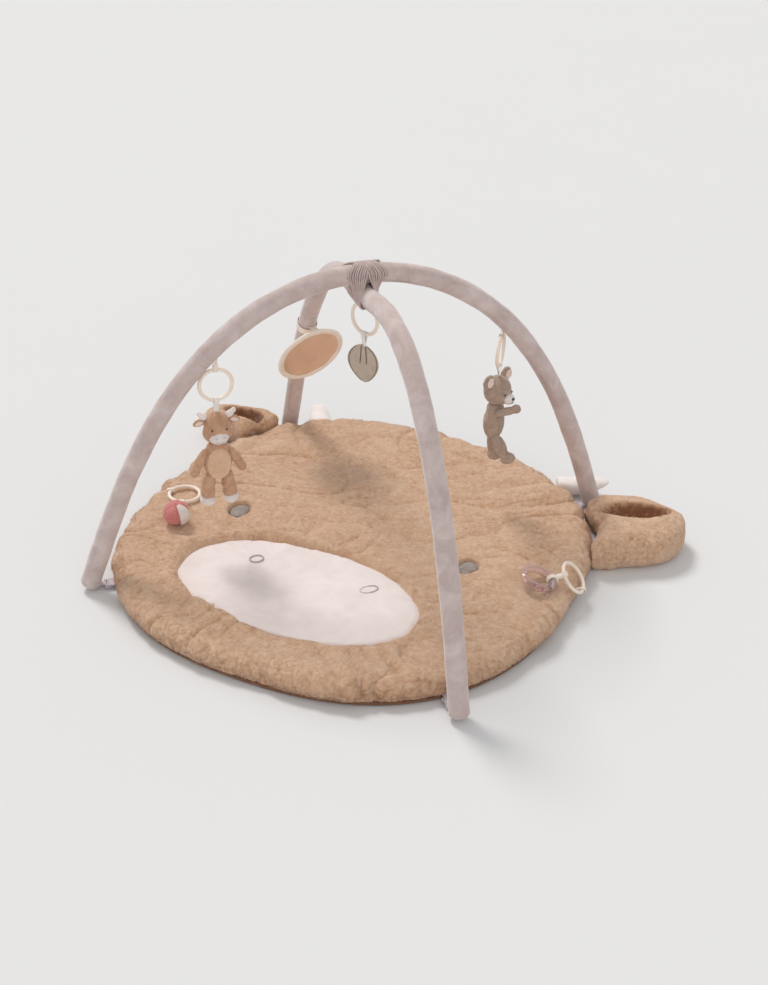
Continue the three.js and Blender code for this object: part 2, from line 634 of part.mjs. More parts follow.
/** The clear bead rattle, its knot link and its ring, at the mat's right edge. */
function buildRattle() {
  const linkTowards = THREE.MathUtils.degToRad(8);
  const link = leaningGroup([387, 45, 48], linkTowards, THREE.MathUtils.degToRad(48));
  piece('rattle_ring', ring().rotateX(Math.PI / 2), material(CREAM, 0.5), link);

  const shellRadius = 26;
  const shellBar = 7;
  const shell = leaningGroup([341, -5, 61], THREE.MathUtils.degToRad(18), THREE.MathUtils.degToRad(14));
  const outer = solid(new THREE.TorusGeometry(shellRadius, shellBar, 8, 20));
  const shellWall = 1.3;
  const inner = solid(new THREE.TorusGeometry(shellRadius, shellBar - shellWall, 6, 20));
  const portWidth = 2;
  const port = solid(box([portWidth, portWidth, 2 * shellBar], [-shellRadius, 0, shellBar]));
  piece('bead_rattle', surface(outer.subtract(inner).subtract(port)), material(0xe3cfd2, 0.1), shell);

  // The knot is a fabric link that wraps the rattle's bar and the ring's bar where they come closest.
  let knotEnds = [];
  let shortest = Infinity;
  for (const onShell of ringPoints(shell, shellRadius)) {
    for (const onRing of ringPoints(link, RING_RADIUS)) {
      if (onShell.distanceTo(onRing) < shortest) {
        shortest = onShell.distanceTo(onRing);
        knotEnds = [onShell, onRing];
      }
    }
  }
  const along = knotEnds[1].clone().sub(knotEnds[0]).normalize();
  const outward = knotEnds[0].clone().sub(shell.position).normalize();
  const across = new THREE.Vector3(0, 0, 1).cross(outward).normalize();
  const upward = new THREE.Vector3().crossVectors(across, along).normalize();
  const knotHeight = 2 * (shellBar + STRAP_CLEARANCE);
  const knotSlack = 1.5;
  const knotWall = 1.6;
  const knotWidth = 6;
  const knot = webbingLoop(shortest + knotHeight + knotSlack, knotHeight, knotWall, knotWidth);
  knot.applyMatrix4(new THREE.Matrix4().makeBasis(upward.clone().cross(along).negate(), along, upward));
  knot.translate(...knotEnds[0].clone().lerp(knotEnds[1], 0.5).toArray());
  piece('rattle_knot', knot, material(0xf1e9e0));

  const ringOuter = new THREE.Vector3(RING_RADIUS, 0, 0).applyMatrix4(link.matrixWorld);
  const loop = hangingLoop(5).rotateX(-Math.PI / 2).rotateZ(Math.PI / 2);
  loop.rotateZ(linkTowards).translate(ringOuter.x, ringOuter.y, ringOuter.z);
  piece('mat_loop_right', loop, material(CAMEL));
  [['bead_pink', -70, 0xc98a93], ['bead_cream', -20, 0xf1e6da]].forEach(([name, angle, colour]) => {
    const turn = THREE.MathUtils.degToRad(angle);
    const bead = piece(name, new THREE.SphereGeometry(3.6, 10, 7), material(colour, 0.4), shell);
    bead.position.set(shellRadius * Math.cos(turn), shellRadius * Math.sin(turn), 0);
  });
}

// ---------------------------------------------------------------- assembly
buildMat();
buildArch('arch_a', curveA);
buildArch('arch_b', curveB);
piece('crown_lashing', crownLashing(), material(VELVET));
buildFastening('front_left', curveA, true, clearanceA);
buildFastening('back_right', curveA, false, clearanceA);
buildFastening('front_right', curveB, true, clearanceB);
buildFastening('back_left', curveB, false, clearanceB);

const CALF_FACING = ARCH_A.azimuth;
const calfHang = hangPoint(curveA, 405, false);
const calfGroup = hangingGroup(calfHang.point, CALF_FACING);
archLoop('toy_loop_calf', calfHang.point, CALF_FACING, 30, clearanceA);
buildRingAndStrap('calf', calfGroup);
buildCalf(calfGroup);

const BEAR_FACING = THREE.MathUtils.degToRad(100);
const bearHang = hangPoint(curveA, 396, true, 24);
const bearGroup = hangingGroup(bearHang.point, BEAR_FACING);
archLoop('toy_loop_bear', bearHang.point, BEAR_FACING, 24, clearanceA);
buildRingAndStrap('bear', bearGroup);
buildBear(bearGroup);

const leafGroup = hangingGroup(leafPoint, LEAF_FACING);
archLoop('toy_loop_leaf', leafPoint, LEAF_FACING, LEAF_DROP, clearanceB);
buildRingAndStrap('leaf', leafGroup);
buildLeaf(leafGroup);

buildMirror();
buildBall();
buildRattle();

export default gym;
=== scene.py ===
"""Activity play gym: a plush calf-head mat, two crossed padded arches and hanging toys.

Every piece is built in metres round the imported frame. Sizes below are in millimetres and pass through MM.
"""

import math

import bmesh
import bpy
import numpy as np
from mathutils import Euler, Matrix, Vector


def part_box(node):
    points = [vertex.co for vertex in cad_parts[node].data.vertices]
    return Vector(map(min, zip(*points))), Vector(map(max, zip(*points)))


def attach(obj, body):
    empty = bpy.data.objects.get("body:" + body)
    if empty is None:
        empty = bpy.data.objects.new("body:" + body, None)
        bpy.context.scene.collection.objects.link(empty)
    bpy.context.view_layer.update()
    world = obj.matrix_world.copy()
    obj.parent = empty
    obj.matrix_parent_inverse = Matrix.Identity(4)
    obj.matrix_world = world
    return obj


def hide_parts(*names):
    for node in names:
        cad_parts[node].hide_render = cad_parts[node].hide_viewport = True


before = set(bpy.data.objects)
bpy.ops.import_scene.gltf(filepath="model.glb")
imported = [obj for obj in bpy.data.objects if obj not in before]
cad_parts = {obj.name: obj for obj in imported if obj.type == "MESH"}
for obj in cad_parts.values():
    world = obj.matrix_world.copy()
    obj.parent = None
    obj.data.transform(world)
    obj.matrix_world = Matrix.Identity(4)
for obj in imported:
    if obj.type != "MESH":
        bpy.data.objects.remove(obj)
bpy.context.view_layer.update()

MM = 0.001
UP = np.array([0.0, 0.0, 1.0])

# ---------------------------------------------------------------- driving dimensions, in millimetres
MAT_HALF_WIDTH = 394
MAT_HALF_LENGTH = 416
MAT_SQUARENESS = 2.4
MAT_GRID = 430  # vertices along each side of the cover's grid
RIM_DEPTH = 36  # how far the mat's round rim reaches inwards
RIM_HEIGHT = 25
RIM_CENTRE_Z = 22
RIM_END = math.radians(-32)  # where the cover's round rim meets the base cloth
MUZZLE_SQUARENESS = 2.14
ARCHES = {
    "arch_a": {"centre": (-18, 24), "azimuth": math.radians(45.5), "half_span": 475},
    "arch_b": {"centre": (8, 4), "azimuth": math.radians(134.5), "half_span": 478},
}
FOOT_HEIGHT = 6.2
FOOT_SLOPE = 1.2775
SHOULDER_SLOPE = -0.045
CROSSING_REACH = 125
CROSSING_GAP = 2.4
SLEEVE_RADIUS = 17
RING_RADIUS = 27.5
RING_BAR = 3.2
TOY_DROP = 75.65  # from a ring's top bar down to the top of its toy's head
CALF_FACING = math.radians(45.5)
BEAR_FACING = math.radians(100)
LEAF_FACING = math.radians(-15)
LEAF_TWIST = math.radians(20)  # the leaf hangs turned from its ring by this much
BEAR_LOOK = math.radians(-25)  # and the bear's head turns to the front
MUZZLE_TOP = 46.6  # where the nostrils' stitching and the ball lie
PATCH_THICKNESS = 2.0
FILM_THICKNESS = 0.4
GORE_THICKNESS = 1.2
EDGE_ROUNDING = 0.35  # on the CAD nodes that keep their shape
LOWEST_PILE = 0.5  # pile stays this far above the floor
PUFF_FRAMES = 20  # steps of each cloth simulation
LASHING_CORDS = 9  # in each of its two directions
LASHING_PITCH = 2.8
BALL_RADIUS = 23.5
BALL_GORES = 5
GORE_RADIUS = 24.3  # the white gore stands a little proud of the ball
OUT_OF_RING = Matrix(((0, 0, 1, 0), (1, 0, 0, 0), (0, 1, 0, 0), (0, 0, 0, 1)))  # turns a tape to run outwards
EAR_POCKETS = {"left": ((-388, 268), (44, 19), math.radians(6)),
               "right": ((420, 286), (64, 25), math.radians(25))}


# ---------------------------------------------------------------- numbers
def middle(node):
    low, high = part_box(node)
    return np.array([(a + b) / 2 for a, b in zip(low, high)])


def size(node):
    low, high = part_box(node)
    return np.array([b - a for a, b in zip(low, high)])


def hashed(x, y, z, seed):
    """A repeatable number from 0 to 1 for each lattice point."""
    value = np.sin(x * 127.1 + y * 311.7 + z * 74.7 + seed * 53.3) * 43758.5453
    return value - np.floor(value)


def noise(points, lump, seed=0):
    """Smooth noise from -1 to 1 whose lumps are about `lump` metres, or a size per axis."""
    scaled = np.asarray(points) / np.asarray(lump)
    cell = np.floor(scaled)
    blend = scaled - cell
    blend = blend * blend * (3 - 2 * blend)
    total = np.zeros(len(scaled))
    for corner in range(8):
        step = np.array([corner & 1, (corner >> 1) & 1, (corner >> 2) & 1])
        weight = np.prod(np.where(step, blend, 1 - blend), axis=1)
        total += weight * hashed(*(cell + step).T, seed)
    return 2 * total - 1


def ridges(points, lump, seed=0):
    """Noise from 0 to 1 with rounded tops and narrow valleys, like pressed pile or soft folds."""
    return np.sqrt(np.abs(noise(points, lump, seed)) + 1e-4)


def smooth_step(low, high, value):
    share = np.clip((value - low) / (high - low), 0, 1)
    return share * share * (3 - 2 * share)


# ---------------------------------------------------------------- meshes
def mesh_object(name, vertices, faces, material, body, slot, replaces=()):
    mesh = bpy.data.meshes.new(name)
    mesh.from_pydata(np.asarray(vertices, dtype=float).tolist(), [], faces)
    mesh.validate()
    mesh.shade_smooth()
    piece = bpy.data.objects.new(name, mesh)
    bpy.context.scene.collection.objects.link(piece)
    return dressed(piece, material, body, replaces)


def dressed(piece, material, body, replaces=()):
    """Gives a piece its material, the body it rides on and the CAD nodes it stands for."""
    piece.data.materials.clear()
    piece.data.materials.append(material)
    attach(piece, body)
    if replaces:
        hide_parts(*replaces)
    return piece


def tidy_normals(piece):
    """Points a closed piece's faces outwards."""
    shape = bmesh.new()
    shape.from_mesh(piece.data)
    bmesh.ops.recalc_face_normals(shape, faces=shape.faces)
    shape.to_mesh(piece.data)
    shape.free()
    piece.data.shade_smooth()


def solid_piece(*made_of):
    """A mesh_object whose faces all point outwards."""
    piece = mesh_object(*made_of)
    tidy_normals(piece)
    return piece


def grid_faces(rows, columns, wrap_rows=False, wrap_columns=False, flip=False):
    """Quads of a grid whose vertex (row, column) has the index row * columns + column."""
    row, column = np.meshgrid(
        np.arange(rows if wrap_rows else rows - 1),
        np.arange(columns if wrap_columns else columns - 1),
        indexing="ij",
    )
    next_row = (row + 1) % rows
    next_column = (column + 1) % columns
    quads = np.stack([row * columns + column, row * columns + next_column,
                      next_row * columns + next_column, next_row * columns + column], -1).reshape(-1, 4)
    return (quads[:, ::-1] if flip else quads).tolist()


def unit_disc(count):
    """A square grid bent into a unit disc, so that its cells stay even."""
    line = np.linspace(-1, 1, count)
    a, b = np.meshgrid(line, line, indexing="ij")
    a = a.ravel()
    b = b.ravel()
    wide = np.abs(a) > np.abs(b)
    reach = np.where(wide, a, b)
    safe_a = np.where(a == 0, 1, a)
    safe_b = np.where(b == 0, 1, b)
    angle = np.where(wide, math.pi / 4 * b / safe_a, math.pi / 2 - math.pi / 4 * a / safe_b)
    return reach * np.cos(angle), reach * np.sin(angle)


def frames_along(path, closed=False):
    """Tangents and two cross directions that don't twist, along a path of points."""
    if closed:
        tangents = np.roll(path, -1, axis=0) - np.roll(path, 1, axis=0)
    else:
        tangents = np.gradient(path, axis=0)
    tangents /= np.linalg.norm(tangents, axis=1)[:, None]
    start = np.cross(tangents[0], UP if abs(tangents[0][2]) < 0.9 else np.array([1.0, 0, 0]))
    sides = [start / np.linalg.norm(start)]
    for tangent in tangents[1:]:
        side = sides[-1] - tangent * np.dot(sides[-1], tangent)
        sides.append(side / np.linalg.norm(side))
    sides = np.array(sides)
    return tangents, sides, np.cross(tangents, sides)


def sweep(path, radius, sides=16, closed=False, flat=1.0, lumps=None):
    """A tube along a path. radius is one number or one per point. flat squeezes its second way."""
    path = np.asarray(path, dtype=float)
    _, side, other = frames_along(path, closed)
    angle = np.linspace(0, 2 * math.pi, sides, endpoint=False)
    radii = np.broadcast_to(np.asarray(radius, dtype=float), (len(path),))[:, None, None]
    ring = np.cos(angle)[None, :, None] * side[:, None, :] + flat * np.sin(angle)[None, :, None] * other[:,
            None, :]
    points = path[:, None, :] + radii * ring
    vertices = points.reshape(-1, 3)
    if lumps is not None:
        vertices = vertices + lumps(vertices)[:, None] * ring.reshape(-1, 3)
    faces = grid_faces(len(path), sides, wrap_rows=closed, wrap_columns=True)
    if not closed:
        first, last = len(vertices), len(vertices) + 1
        vertices = np.vstack([vertices, path[0], path[-1]])
        faces += [[first, (i + 1) % sides, i] for i in range(sides)]
        base = (len(path) - 1) * sides
        faces += [[last, base + i, base + (i + 1) % sides] for i in range(sides)]
    return vertices, faces


def joined(parts):
    """Several (vertices, faces) as one."""
    vertices = []
    faces = []
    for some_vertices, some_faces in parts:
        offset = sum(len(v) for v in vertices)
        vertices.append(np.asarray(some_vertices, dtype=float))
        faces += [[i + offset for i in face] for face in some_faces]
    return np.vstack(vertices), faces


def applied(piece):
    """Keeps what the piece's modifiers make of its mesh, and drops the modifiers."""
    shown = piece.evaluated_get(bpy.context.evaluated_depsgraph_get())
    mesh = bpy.data.meshes.new_from_object(shown)
    piece.modifiers.clear()
    piece.data = mesh
    mesh.shade_smooth()
    return piece


def coordinates(mesh):
    flat = np.empty(len(mesh.vertices) * 3)
    mesh.vertices.foreach_get("co", flat)
    return flat.reshape(-1, 3)


def normals(mesh):
    flat = np.empty(len(mesh.vertices) * 3)
    mesh.vertex_normals.foreach_get("vector", flat)
    return flat.reshape(-1, 3)


def place(mesh, vertices):
    mesh.vertices.foreach_set("co", np.ascontiguousarray(vertices, dtype=np.float32).ravel())
    mesh.update()


def set_attribute(mesh, name, values):
    """Stores a number from 0 to 1 at each vertex: the pile's height, or how much painted shade a plush piece
    gets there.
    """
    layer = mesh.attributes.get(name) or mesh.attributes.new(name, "FLOAT", "POINT")
    layer.data.foreach_set("value", np.clip(values, 0, 1).astype(np.float32))


def pile_height(points, seed=0):
    """The small curls of plush, from 0 to 1."""
    warp = np.stack([noise(points, 10 * MM, seed + k) for k in (1, 2, 3)], 1) * 3.0 * MM
    clumps = 0.5 + 0.5 * noise(points + warp, 14 * MM, seed + 4)
    curls = ridges(points + warp, 6.5 * MM, seed + 5)
    tips = ridges(points + warp, 3.8 * MM, seed + 6)
    return np.clip(0.25 * clumps + 0.43 * curls + 0.32 * tips, 0, 1)


def add_pile(piece, depth, seed=0):
    """Raises a plush piece's surface into curls."""
    mesh = piece.data
    points = coordinates(mesh)
    raised = points + normals(mesh) * (pile_height(points, seed) * depth)[:, None]
    raised[:, 2] = np.maximum(raised[:, 2], LOWEST_PILE * MM)
    place(mesh, raised)


def inflate(piece, cap, pressure=4.0):
    """Puffs a closed soft piece up as stuffed cloth, with no point moving further than cap."""
    before = coordinates(piece.data)
    cloth = piece.modifiers.new("Cloth", "CLOTH")
    cloth.settings.quality = 5
    cloth.settings.mass = 0.2
    cloth.settings.tension_stiffness = 12
    cloth.settings.compression_stiffness = 12
    cloth.settings.bending_stiffness = 0.4
    cloth.settings.use_pressure = True
    cloth.settings.uniform_pressure_force = pressure
    cloth.settings.effector_weights.gravity = 0
    cloth.collision_settings.use_collision = False
    cloth.point_cache.frame_start = 1
    cloth.point_cache.frame_end = PUFF_FRAMES
    for number in range(1, PUFF_FRAMES + 1):
        bpy.context.scene.frame_set(number)
    applied(piece)
    bpy.context.scene.frame_set(1)
    move = coordinates(piece.data) - before
    length = np.linalg.norm(move, axis=1)
    share = np.minimum(1, cap / np.maximum(length, 1e-9))
    place(piece.data, before + move * share[:, None])


def remeshed(piece, voxel, rounds):
    """Makes a piece one skin of even quads, about voxel millimetres across, and smooths it."""
    remesh = piece.modifiers.new("Remesh", "REMESH")
    remesh.mode = "VOXEL"
    remesh.voxel_size = voxel * MM
    soften = piece.modifiers.new("Smooth", "SMOOTH")
    soften.factor = 0.6
    soften.iterations = rounds
    return applied(piece)


def refined(piece):
    """Subdivides a piece once."""
    piece.modifiers.new("Subdivision", "SUBSURF").levels = 1
    return applied(piece)


def thickened(piece, thickness, offset=-1.0):
    """Gives a sheet its thickness in millimetres."""
    solid = piece.modifiers.new("Solidify", "SOLIDIFY")
    solid.thickness = thickness * MM
    solid.offset = offset
    return applied(piece)


def two_sided(front, back, rows, columns):
    """Two sheets on the same grid, joined round their edge into one closed shell."""
    vertices, faces = joined([(front, grid_faces(rows, columns)),
                              (back, grid_faces(rows, columns, flip=True))])
    index = np.arange(rows * columns).reshape(rows, columns)
    loop = np.concatenate([index[0, :-1], index[:-1, -1], index[-1, :0:-1], index[:0:-1, 0]])
    following = np.roll(loop, -1)
    behind = rows * columns
    faces += np.stack([loop, loop + behind, following + behind, following], 1).tolist()
    return vertices, faces


def blob_mesh(parts, sides=4):
    """The union-to-be of ellipsoids: each is (half size, centre, turn) in millimetres and radians."""
    shape = bmesh.new()
    for half, centre, turn in parts:
        matrix = Matrix.Translation(Vector(centre) * MM) @ Euler(turn).to_matrix().to_4x4()
        matrix = matrix @ Matrix.Diagonal((*[h * MM for h in half], 1))
        bmesh.ops.create_icosphere(shape, subdivisions=sides, radius=1, matrix=matrix)
    mesh = bpy.data.meshes.new("blob")
    shape.to_mesh(mesh)
    shape.free()
    return mesh


def stuffed(name, parts, placing, material, body, replaces=(), voxel=2.2, puff=1.5, nap=0.5, seed=0,
            rounds=4, wrinkle=0.0):
    """A stuffed velour piece: ellipsoids fused into one skin, puffed up, smoothed and given a nap."""
    mesh = blob_mesh(parts)
    mesh.transform(placing)
    piece = bpy.data.objects.new(name, mesh)
    bpy.context.scene.collection.objects.link(piece)
    remeshed(piece, voxel, rounds)
    if puff:
        inflate(piece, puff * MM)
    refined(piece)
    mesh = piece.data
    points = coordinates(mesh)
    lift = nap * MM * noise(points, 2.4 * MM, seed) + wrinkle * MM * noise(points,
            (14 * MM, 14 * MM, 5 * MM), seed + 9)
    place(mesh, points + normals(mesh) * lift[:, None])
    return dressed(piece, material, body, replaces)


# ---------------------------------------------------------------- materials
def node(tree, kind, inputs=None, **settings):
    made = tree.nodes.new(kind)
    for key, value in settings.items():
        setattr(made, key, value)
    for key, value in (inputs or {}).items():
        if isinstance(value, bpy.types.NodeSocket):
            tree.links.new(value, made.inputs[key])
        else:
            made.inputs[key].default_value = value
    return made


def new_material(name, **shader):
    made = bpy.data.materials.new(name)
    made.use_nodes = True
    tree = made.node_tree
    surface = tree.nodes["Principled BSDF"]
    for key, value in shader.items():
        surface.inputs[key.replace("_", " ").title()].default_value = value
    place_in = node(tree, "ShaderNodeTexCoord").outputs["Object"]
    return made, tree, surface, place_in


def srgb(red, green, blue):
    """A colour given as it looks, from 0 to 255, in the linear values that shaders use."""
    return tuple(((c / 255 + 0.055) / 1.055) ** 2.4 if c > 10 else c / 255 / 12.92
                 for c in (red, green, blue))


def colour_ramp(tree, factor, stops):
    ramp = node(tree, "ShaderNodeValToRGB", {"Fac": factor})
    points = ramp.color_ramp.elements
    while len(points) < len(stops):
        points.new(0.5)
    for point, (position, colour) in zip(points, stops):
        point.position = position
        point.color = (*colour, 1)
    return ramp.outputs["Color"]


def noise_node(tree, where, scale, detail=3.0, roughness=0.6, distortion=0.0):
    return node(tree, "ShaderNodeTexNoise", {
        "Vector": where, "Scale": scale, "Detail": detail, "Roughness": roughness, "Distortion": distortion,
    }).outputs["Fac"]


def math_node(tree, operation, first, second):
    return node(tree, "ShaderNodeMath", {0: first, 1: second}, operation=operation).outputs[0]


def bump(tree, surface, height, distance, strength=1.0):
    made = node(tree, "ShaderNodeBump", {"Height": height, "Distance": distance, "Strength": strength})
    tree.links.new(made.outputs["Normal"], surface.inputs["Normal"])


def plush_material(name, dark, mid, light, patch_scale=9.0):
    """Curly pile: painted shade between the curls and painted highlights on their tips, from the pile's
    height, with broad brushed patches.
    """
    made, tree, surface, where = new_material(name, roughness=0.95)
    surface.inputs["Sheen Weight"].default_value = 0.35
    surface.inputs["Sheen Roughness"].default_value = 0.5
    surface.inputs["Specular IOR Level"].default_value = 0.15
    # painted shade and light: the pile's height darkens the colour between the curls and lightens it on their
    # tips
    pile = node(tree, "ShaderNodeAttribute", attribute_name="pile").outputs["Fac"]
    broad = noise_node(tree, where, patch_scale, 3.0, 0.6, 0.6)
    small = noise_node(tree, where, 260.0, 3.0, 0.7)
    level = math_node(tree, "MULTIPLY", pile, 0.75)
    level = math_node(tree, "ADD", level, math_node(tree, "MULTIPLY", broad, 0.3))
    level = math_node(tree, "ADD", level, math_node(tree, "MULTIPLY", small, 0.3))
    # painted shade: the attribute subtracted here darkens the ears' hollows and the mat's turned-down rim
    level = math_node(tree, "SUBTRACT", level,
                      node(tree, "ShaderNodeAttribute", attribute_name="painted_shade").outputs["Fac"])
    colour = colour_ramp(tree, level, [(0.2, dark), (0.58, mid), (1.0, light)])
    tree.links.new(colour, surface.inputs["Base Color"])
    brushed = node(tree, "ShaderNodeMapping",
                   {"Vector": where, "Rotation": (0, 0, 0.6), "Scale": (1.0, 2.6, 2.0)})
    strokes = noise_node(tree, brushed.outputs["Vector"], 190.0, 4.0, 0.75, 0.5)
    fibres = noise_node(tree, where, 1100.0, 2.0, 0.7)
    nap = math_node(tree, "ADD", strokes, math_node(tree, "MULTIPLY", fibres, 0.35))
    bump(tree, surface, nap, 0.005, 0.75)
    return made


def velour_material(name, dark, light, scale=40.0, nap=1400.0, sheen=0.5, weave=0.0004):
    """Short-napped cloth, with soft lighter and darker strokes."""
    made, tree, surface, where = new_material(name, roughness=0.88)
    surface.inputs["Sheen Weight"].default_value = sheen
    surface.inputs["Sheen Roughness"].default_value = 0.4
    surface.inputs["Specular IOR Level"].default_value = 0.2
    strokes = noise_node(tree, where, scale, 4.0, 0.65, 0.8)
    grain = noise_node(tree, where, nap, 2.0, 0.6)
    level = math_node(tree, "ADD", math_node(tree, "MULTIPLY", strokes, 0.8),
                      math_node(tree, "MULTIPLY", grain, 0.3))
    tree.links.new(colour_ramp(tree, level, [(0.3, dark), (0.75, light)]), surface.inputs["Base Color"])
    bump(tree, surface, grain, weave, 0.7)
    return made


def woven_material(name, dark, light, threads=1100.0, sheen=0.2):
    """Plain-woven tape or cloth: two sets of threads crossing."""
    made, tree, surface, where = new_material(name, roughness=0.85)
    surface.inputs["Sheen Weight"].default_value = sheen
    waves = [
        node(tree, "ShaderNodeTexWave", {"Vector": where, "Scale": threads / 6.28, "Distortion": 0.4},
             bands_direction=direction).outputs["Fac"]
        for direction in ("X", "Y", "Z")
    ]
    cloth = math_node(tree, "MAXIMUM", math_node(tree, "MULTIPLY", waves[0], waves[2]), waves[1])
    stains = noise_node(tree, where, 60.0, 3.0)
    level = math_node(tree, "ADD", math_node(tree, "MULTIPLY", cloth, 0.35),
                      math_node(tree, "MULTIPLY", stains, 0.65))
    tree.links.new(colour_ramp(tree, level, [(0.2, dark), (0.8, light)]), surface.inputs["Base Color"])
    bump(tree, surface, cloth, 0.0003, 0.6)
    return made


def plastic_material(name, dark, light, roughness=0.38, coat=0.15):
    """Moulded plastic: almost even colour, a soft gloss, faint flow marks and scuffs."""
    made, tree, surface, where = new_material(name)
    surface.inputs["Coat Weight"].default_value = coat
    surface.inputs["Coat Roughness"].default_value = 0.25
    surface.inputs["Subsurface Weight"].default_value = 0.06
    surface.inputs["Subsurface Radius"].default_value = (0.004, 0.003, 0.002)
    flow = noise_node(tree, where, 35.0, 3.0, 0.5, 0.5)
    tree.links.new(colour_ramp(tree, flow, [(0.3, dark), (0.75, light)]), surface.inputs["Base Color"])
    scuffs = noise_node(tree, where, 420.0, 4.0, 0.75)
    rough = node(tree, "ShaderNodeMapRange", {
        "Value": scuffs, "From Min": 0.35, "From Max": 0.75, "To Min": roughness, "To Max": roughness + 0.2,
    }).outputs[0]
    tree.links.new(rough, surface.inputs["Roughness"])
    bump(tree, surface, scuffs, 0.00006, 0.4)
    return made


def clear_material(name):
    """Clear tinted plastic with moulding ripples."""
    made, tree, surface, where = new_material(name, roughness=0.06)
    surface.inputs["Base Color"].default_value = (*srgb(249, 240, 245), 1)
    surface.inputs["Transmission Weight"].default_value = 1.0
    surface.inputs["IOR"].default_value = 1.38
    surface.inputs["Coat Weight"].default_value = 0.4
    bump(tree, surface, noise_node(tree, where, 90.0, 2.0), 0.0006, 0.3)
    return made


def foil_material(name):
    """Flexible mirror film, slightly hazy and rippled."""
    made, tree, surface, where = new_material(name, metallic=0.8)
    surface.inputs["Base Color"].default_value = (*srgb(232, 214, 202), 1)
    haze = noise_node(tree, where, 26.0, 3.0)
    rough = node(tree, "ShaderNodeMapRange", {
        "Value": haze, "From Min": 0.3, "From Max": 0.7, "To Min": 0.12, "To Max": 0.2,
    }).outputs[0]
    tree.links.new(rough, surface.inputs["Roughness"])
    bump(tree, surface, noise_node(tree, where, 14.0, 2.0), 0.003, 0.25)
    return made


# camel plush: its dark stop shows as painted shade between the curls, in the ear hollows and on the rim, its
# light stop as painted highlights on the curl tips
CAMEL = plush_material("camel_plush", srgb(152, 102, 70), srgb(219, 176, 141), srgb(243, 210, 180))
MUZZLE = velour_material("muzzle_velour", srgb(222, 210, 207), srgb(238, 228, 226), 16.0)
EYE = velour_material("eye_felt", srgb(120, 108, 102), srgb(168, 158, 152), 60.0)
HORN = velour_material("horn_velour", srgb(226, 214, 211), srgb(246, 240, 237), 20.0)
VELVET = velour_material("arch_velvet", srgb(178, 157, 151), srgb(216, 202, 199), 24.0, 900.0, 0.7)
LASHING = velour_material("lashing_cord", srgb(182, 160, 156), srgb(212, 195, 192), 80.0, 1500.0, 0.4)
BASE = woven_material("base_cloth", srgb(96, 60, 40), srgb(140, 96, 68))
TAPE = woven_material("white_tape", srgb(224, 217, 210), srgb(247, 243, 238))
WEBBING = woven_material("lilac_webbing", srgb(188, 176, 182), srgb(222, 212, 216))
CREAM_CLOTH = woven_material("cream_cloth", srgb(236, 220, 204), srgb(250, 240, 229))
THREAD = woven_material("dark_thread", srgb(70, 56, 46), srgb(96, 80, 68), 2400.0)
GREY_THREAD = woven_material("grey_thread", srgb(176, 168, 168), srgb(200, 192, 192), 2400.0)
BUCKLE = plastic_material("lilac_plastic", srgb(186, 174, 182), srgb(206, 196, 202))
RING = plastic_material("cream_plastic", srgb(240, 224, 208), srgb(249, 237, 225))
ROD = plastic_material("rod_plastic", srgb(206, 206, 198), srgb(226, 226, 220))
CALF = velour_material("calf_velour", srgb(170, 128, 100), srgb(212, 172, 142), 60.0)
BELLY = velour_material("belly_velour", srgb(206, 168, 138), srgb(228, 193, 164), 60.0)
HOOF = velour_material("hoof_velour", srgb(214, 204, 198), srgb(238, 231, 226), 60.0)
BEAR = velour_material("bear_velour", srgb(140, 119, 105), srgb(192, 170, 153), 60.0)
LINING = velour_material("ear_lining", srgb(222, 196, 184), srgb(238, 220, 210), 60.0)
LEAF = velour_material("leaf_cloth", srgb(176, 162, 147), srgb(204, 190, 175), 90.0, 1800.0, 0.2)
ROSE = velour_material("rose_rib", srgb(190, 110, 106), srgb(216, 144, 138), 70.0)
CLEAR = clear_material("clear_plastic")
FOIL = foil_material("mirror_film")
BEAD_PINK = plastic_material("pink_bead", srgb(186, 100, 112), srgb(208, 128, 138), 0.2, 0.4)
BEAD_CREAM = plastic_material("cream_bead", srgb(238, 224, 208), srgb(248, 240, 228), 0.2, 0.4)
BLACK = plastic_material("black_bead", srgb(22, 18, 17), srgb(40, 34, 32), 0.18, 0.5)


# ---------------------------------------------------------------- the mat
def oval_radius(angle, half_width, half_length, squareness):
    across = np.abs(np.cos(angle) / half_width) ** squareness
    along = np.abs(np.sin(angle) / half_length) ** squareness
    return (across + along) ** (-1 / squareness)


def outline_radius(angle):
    return oval_radius(angle, MAT_HALF_WIDTH, MAT_HALF_LENGTH, MAT_SQUARENESS)


def oval_share(x, y, node_name, squareness, grow=1.0):
    """0 at an oval piece's middle and 1 on its edge, for points in millimetres."""
    cx, cy, _ = middle(node_name) / MM
    width, length, _ = size(node_name) / MM
    across = np.abs((x - cx) / (width / 2 * grow)) ** squareness
    along = np.abs((y - cy) / (length / 2 * grow)) ** squareness
    return (across + along) ** (1 / squareness)


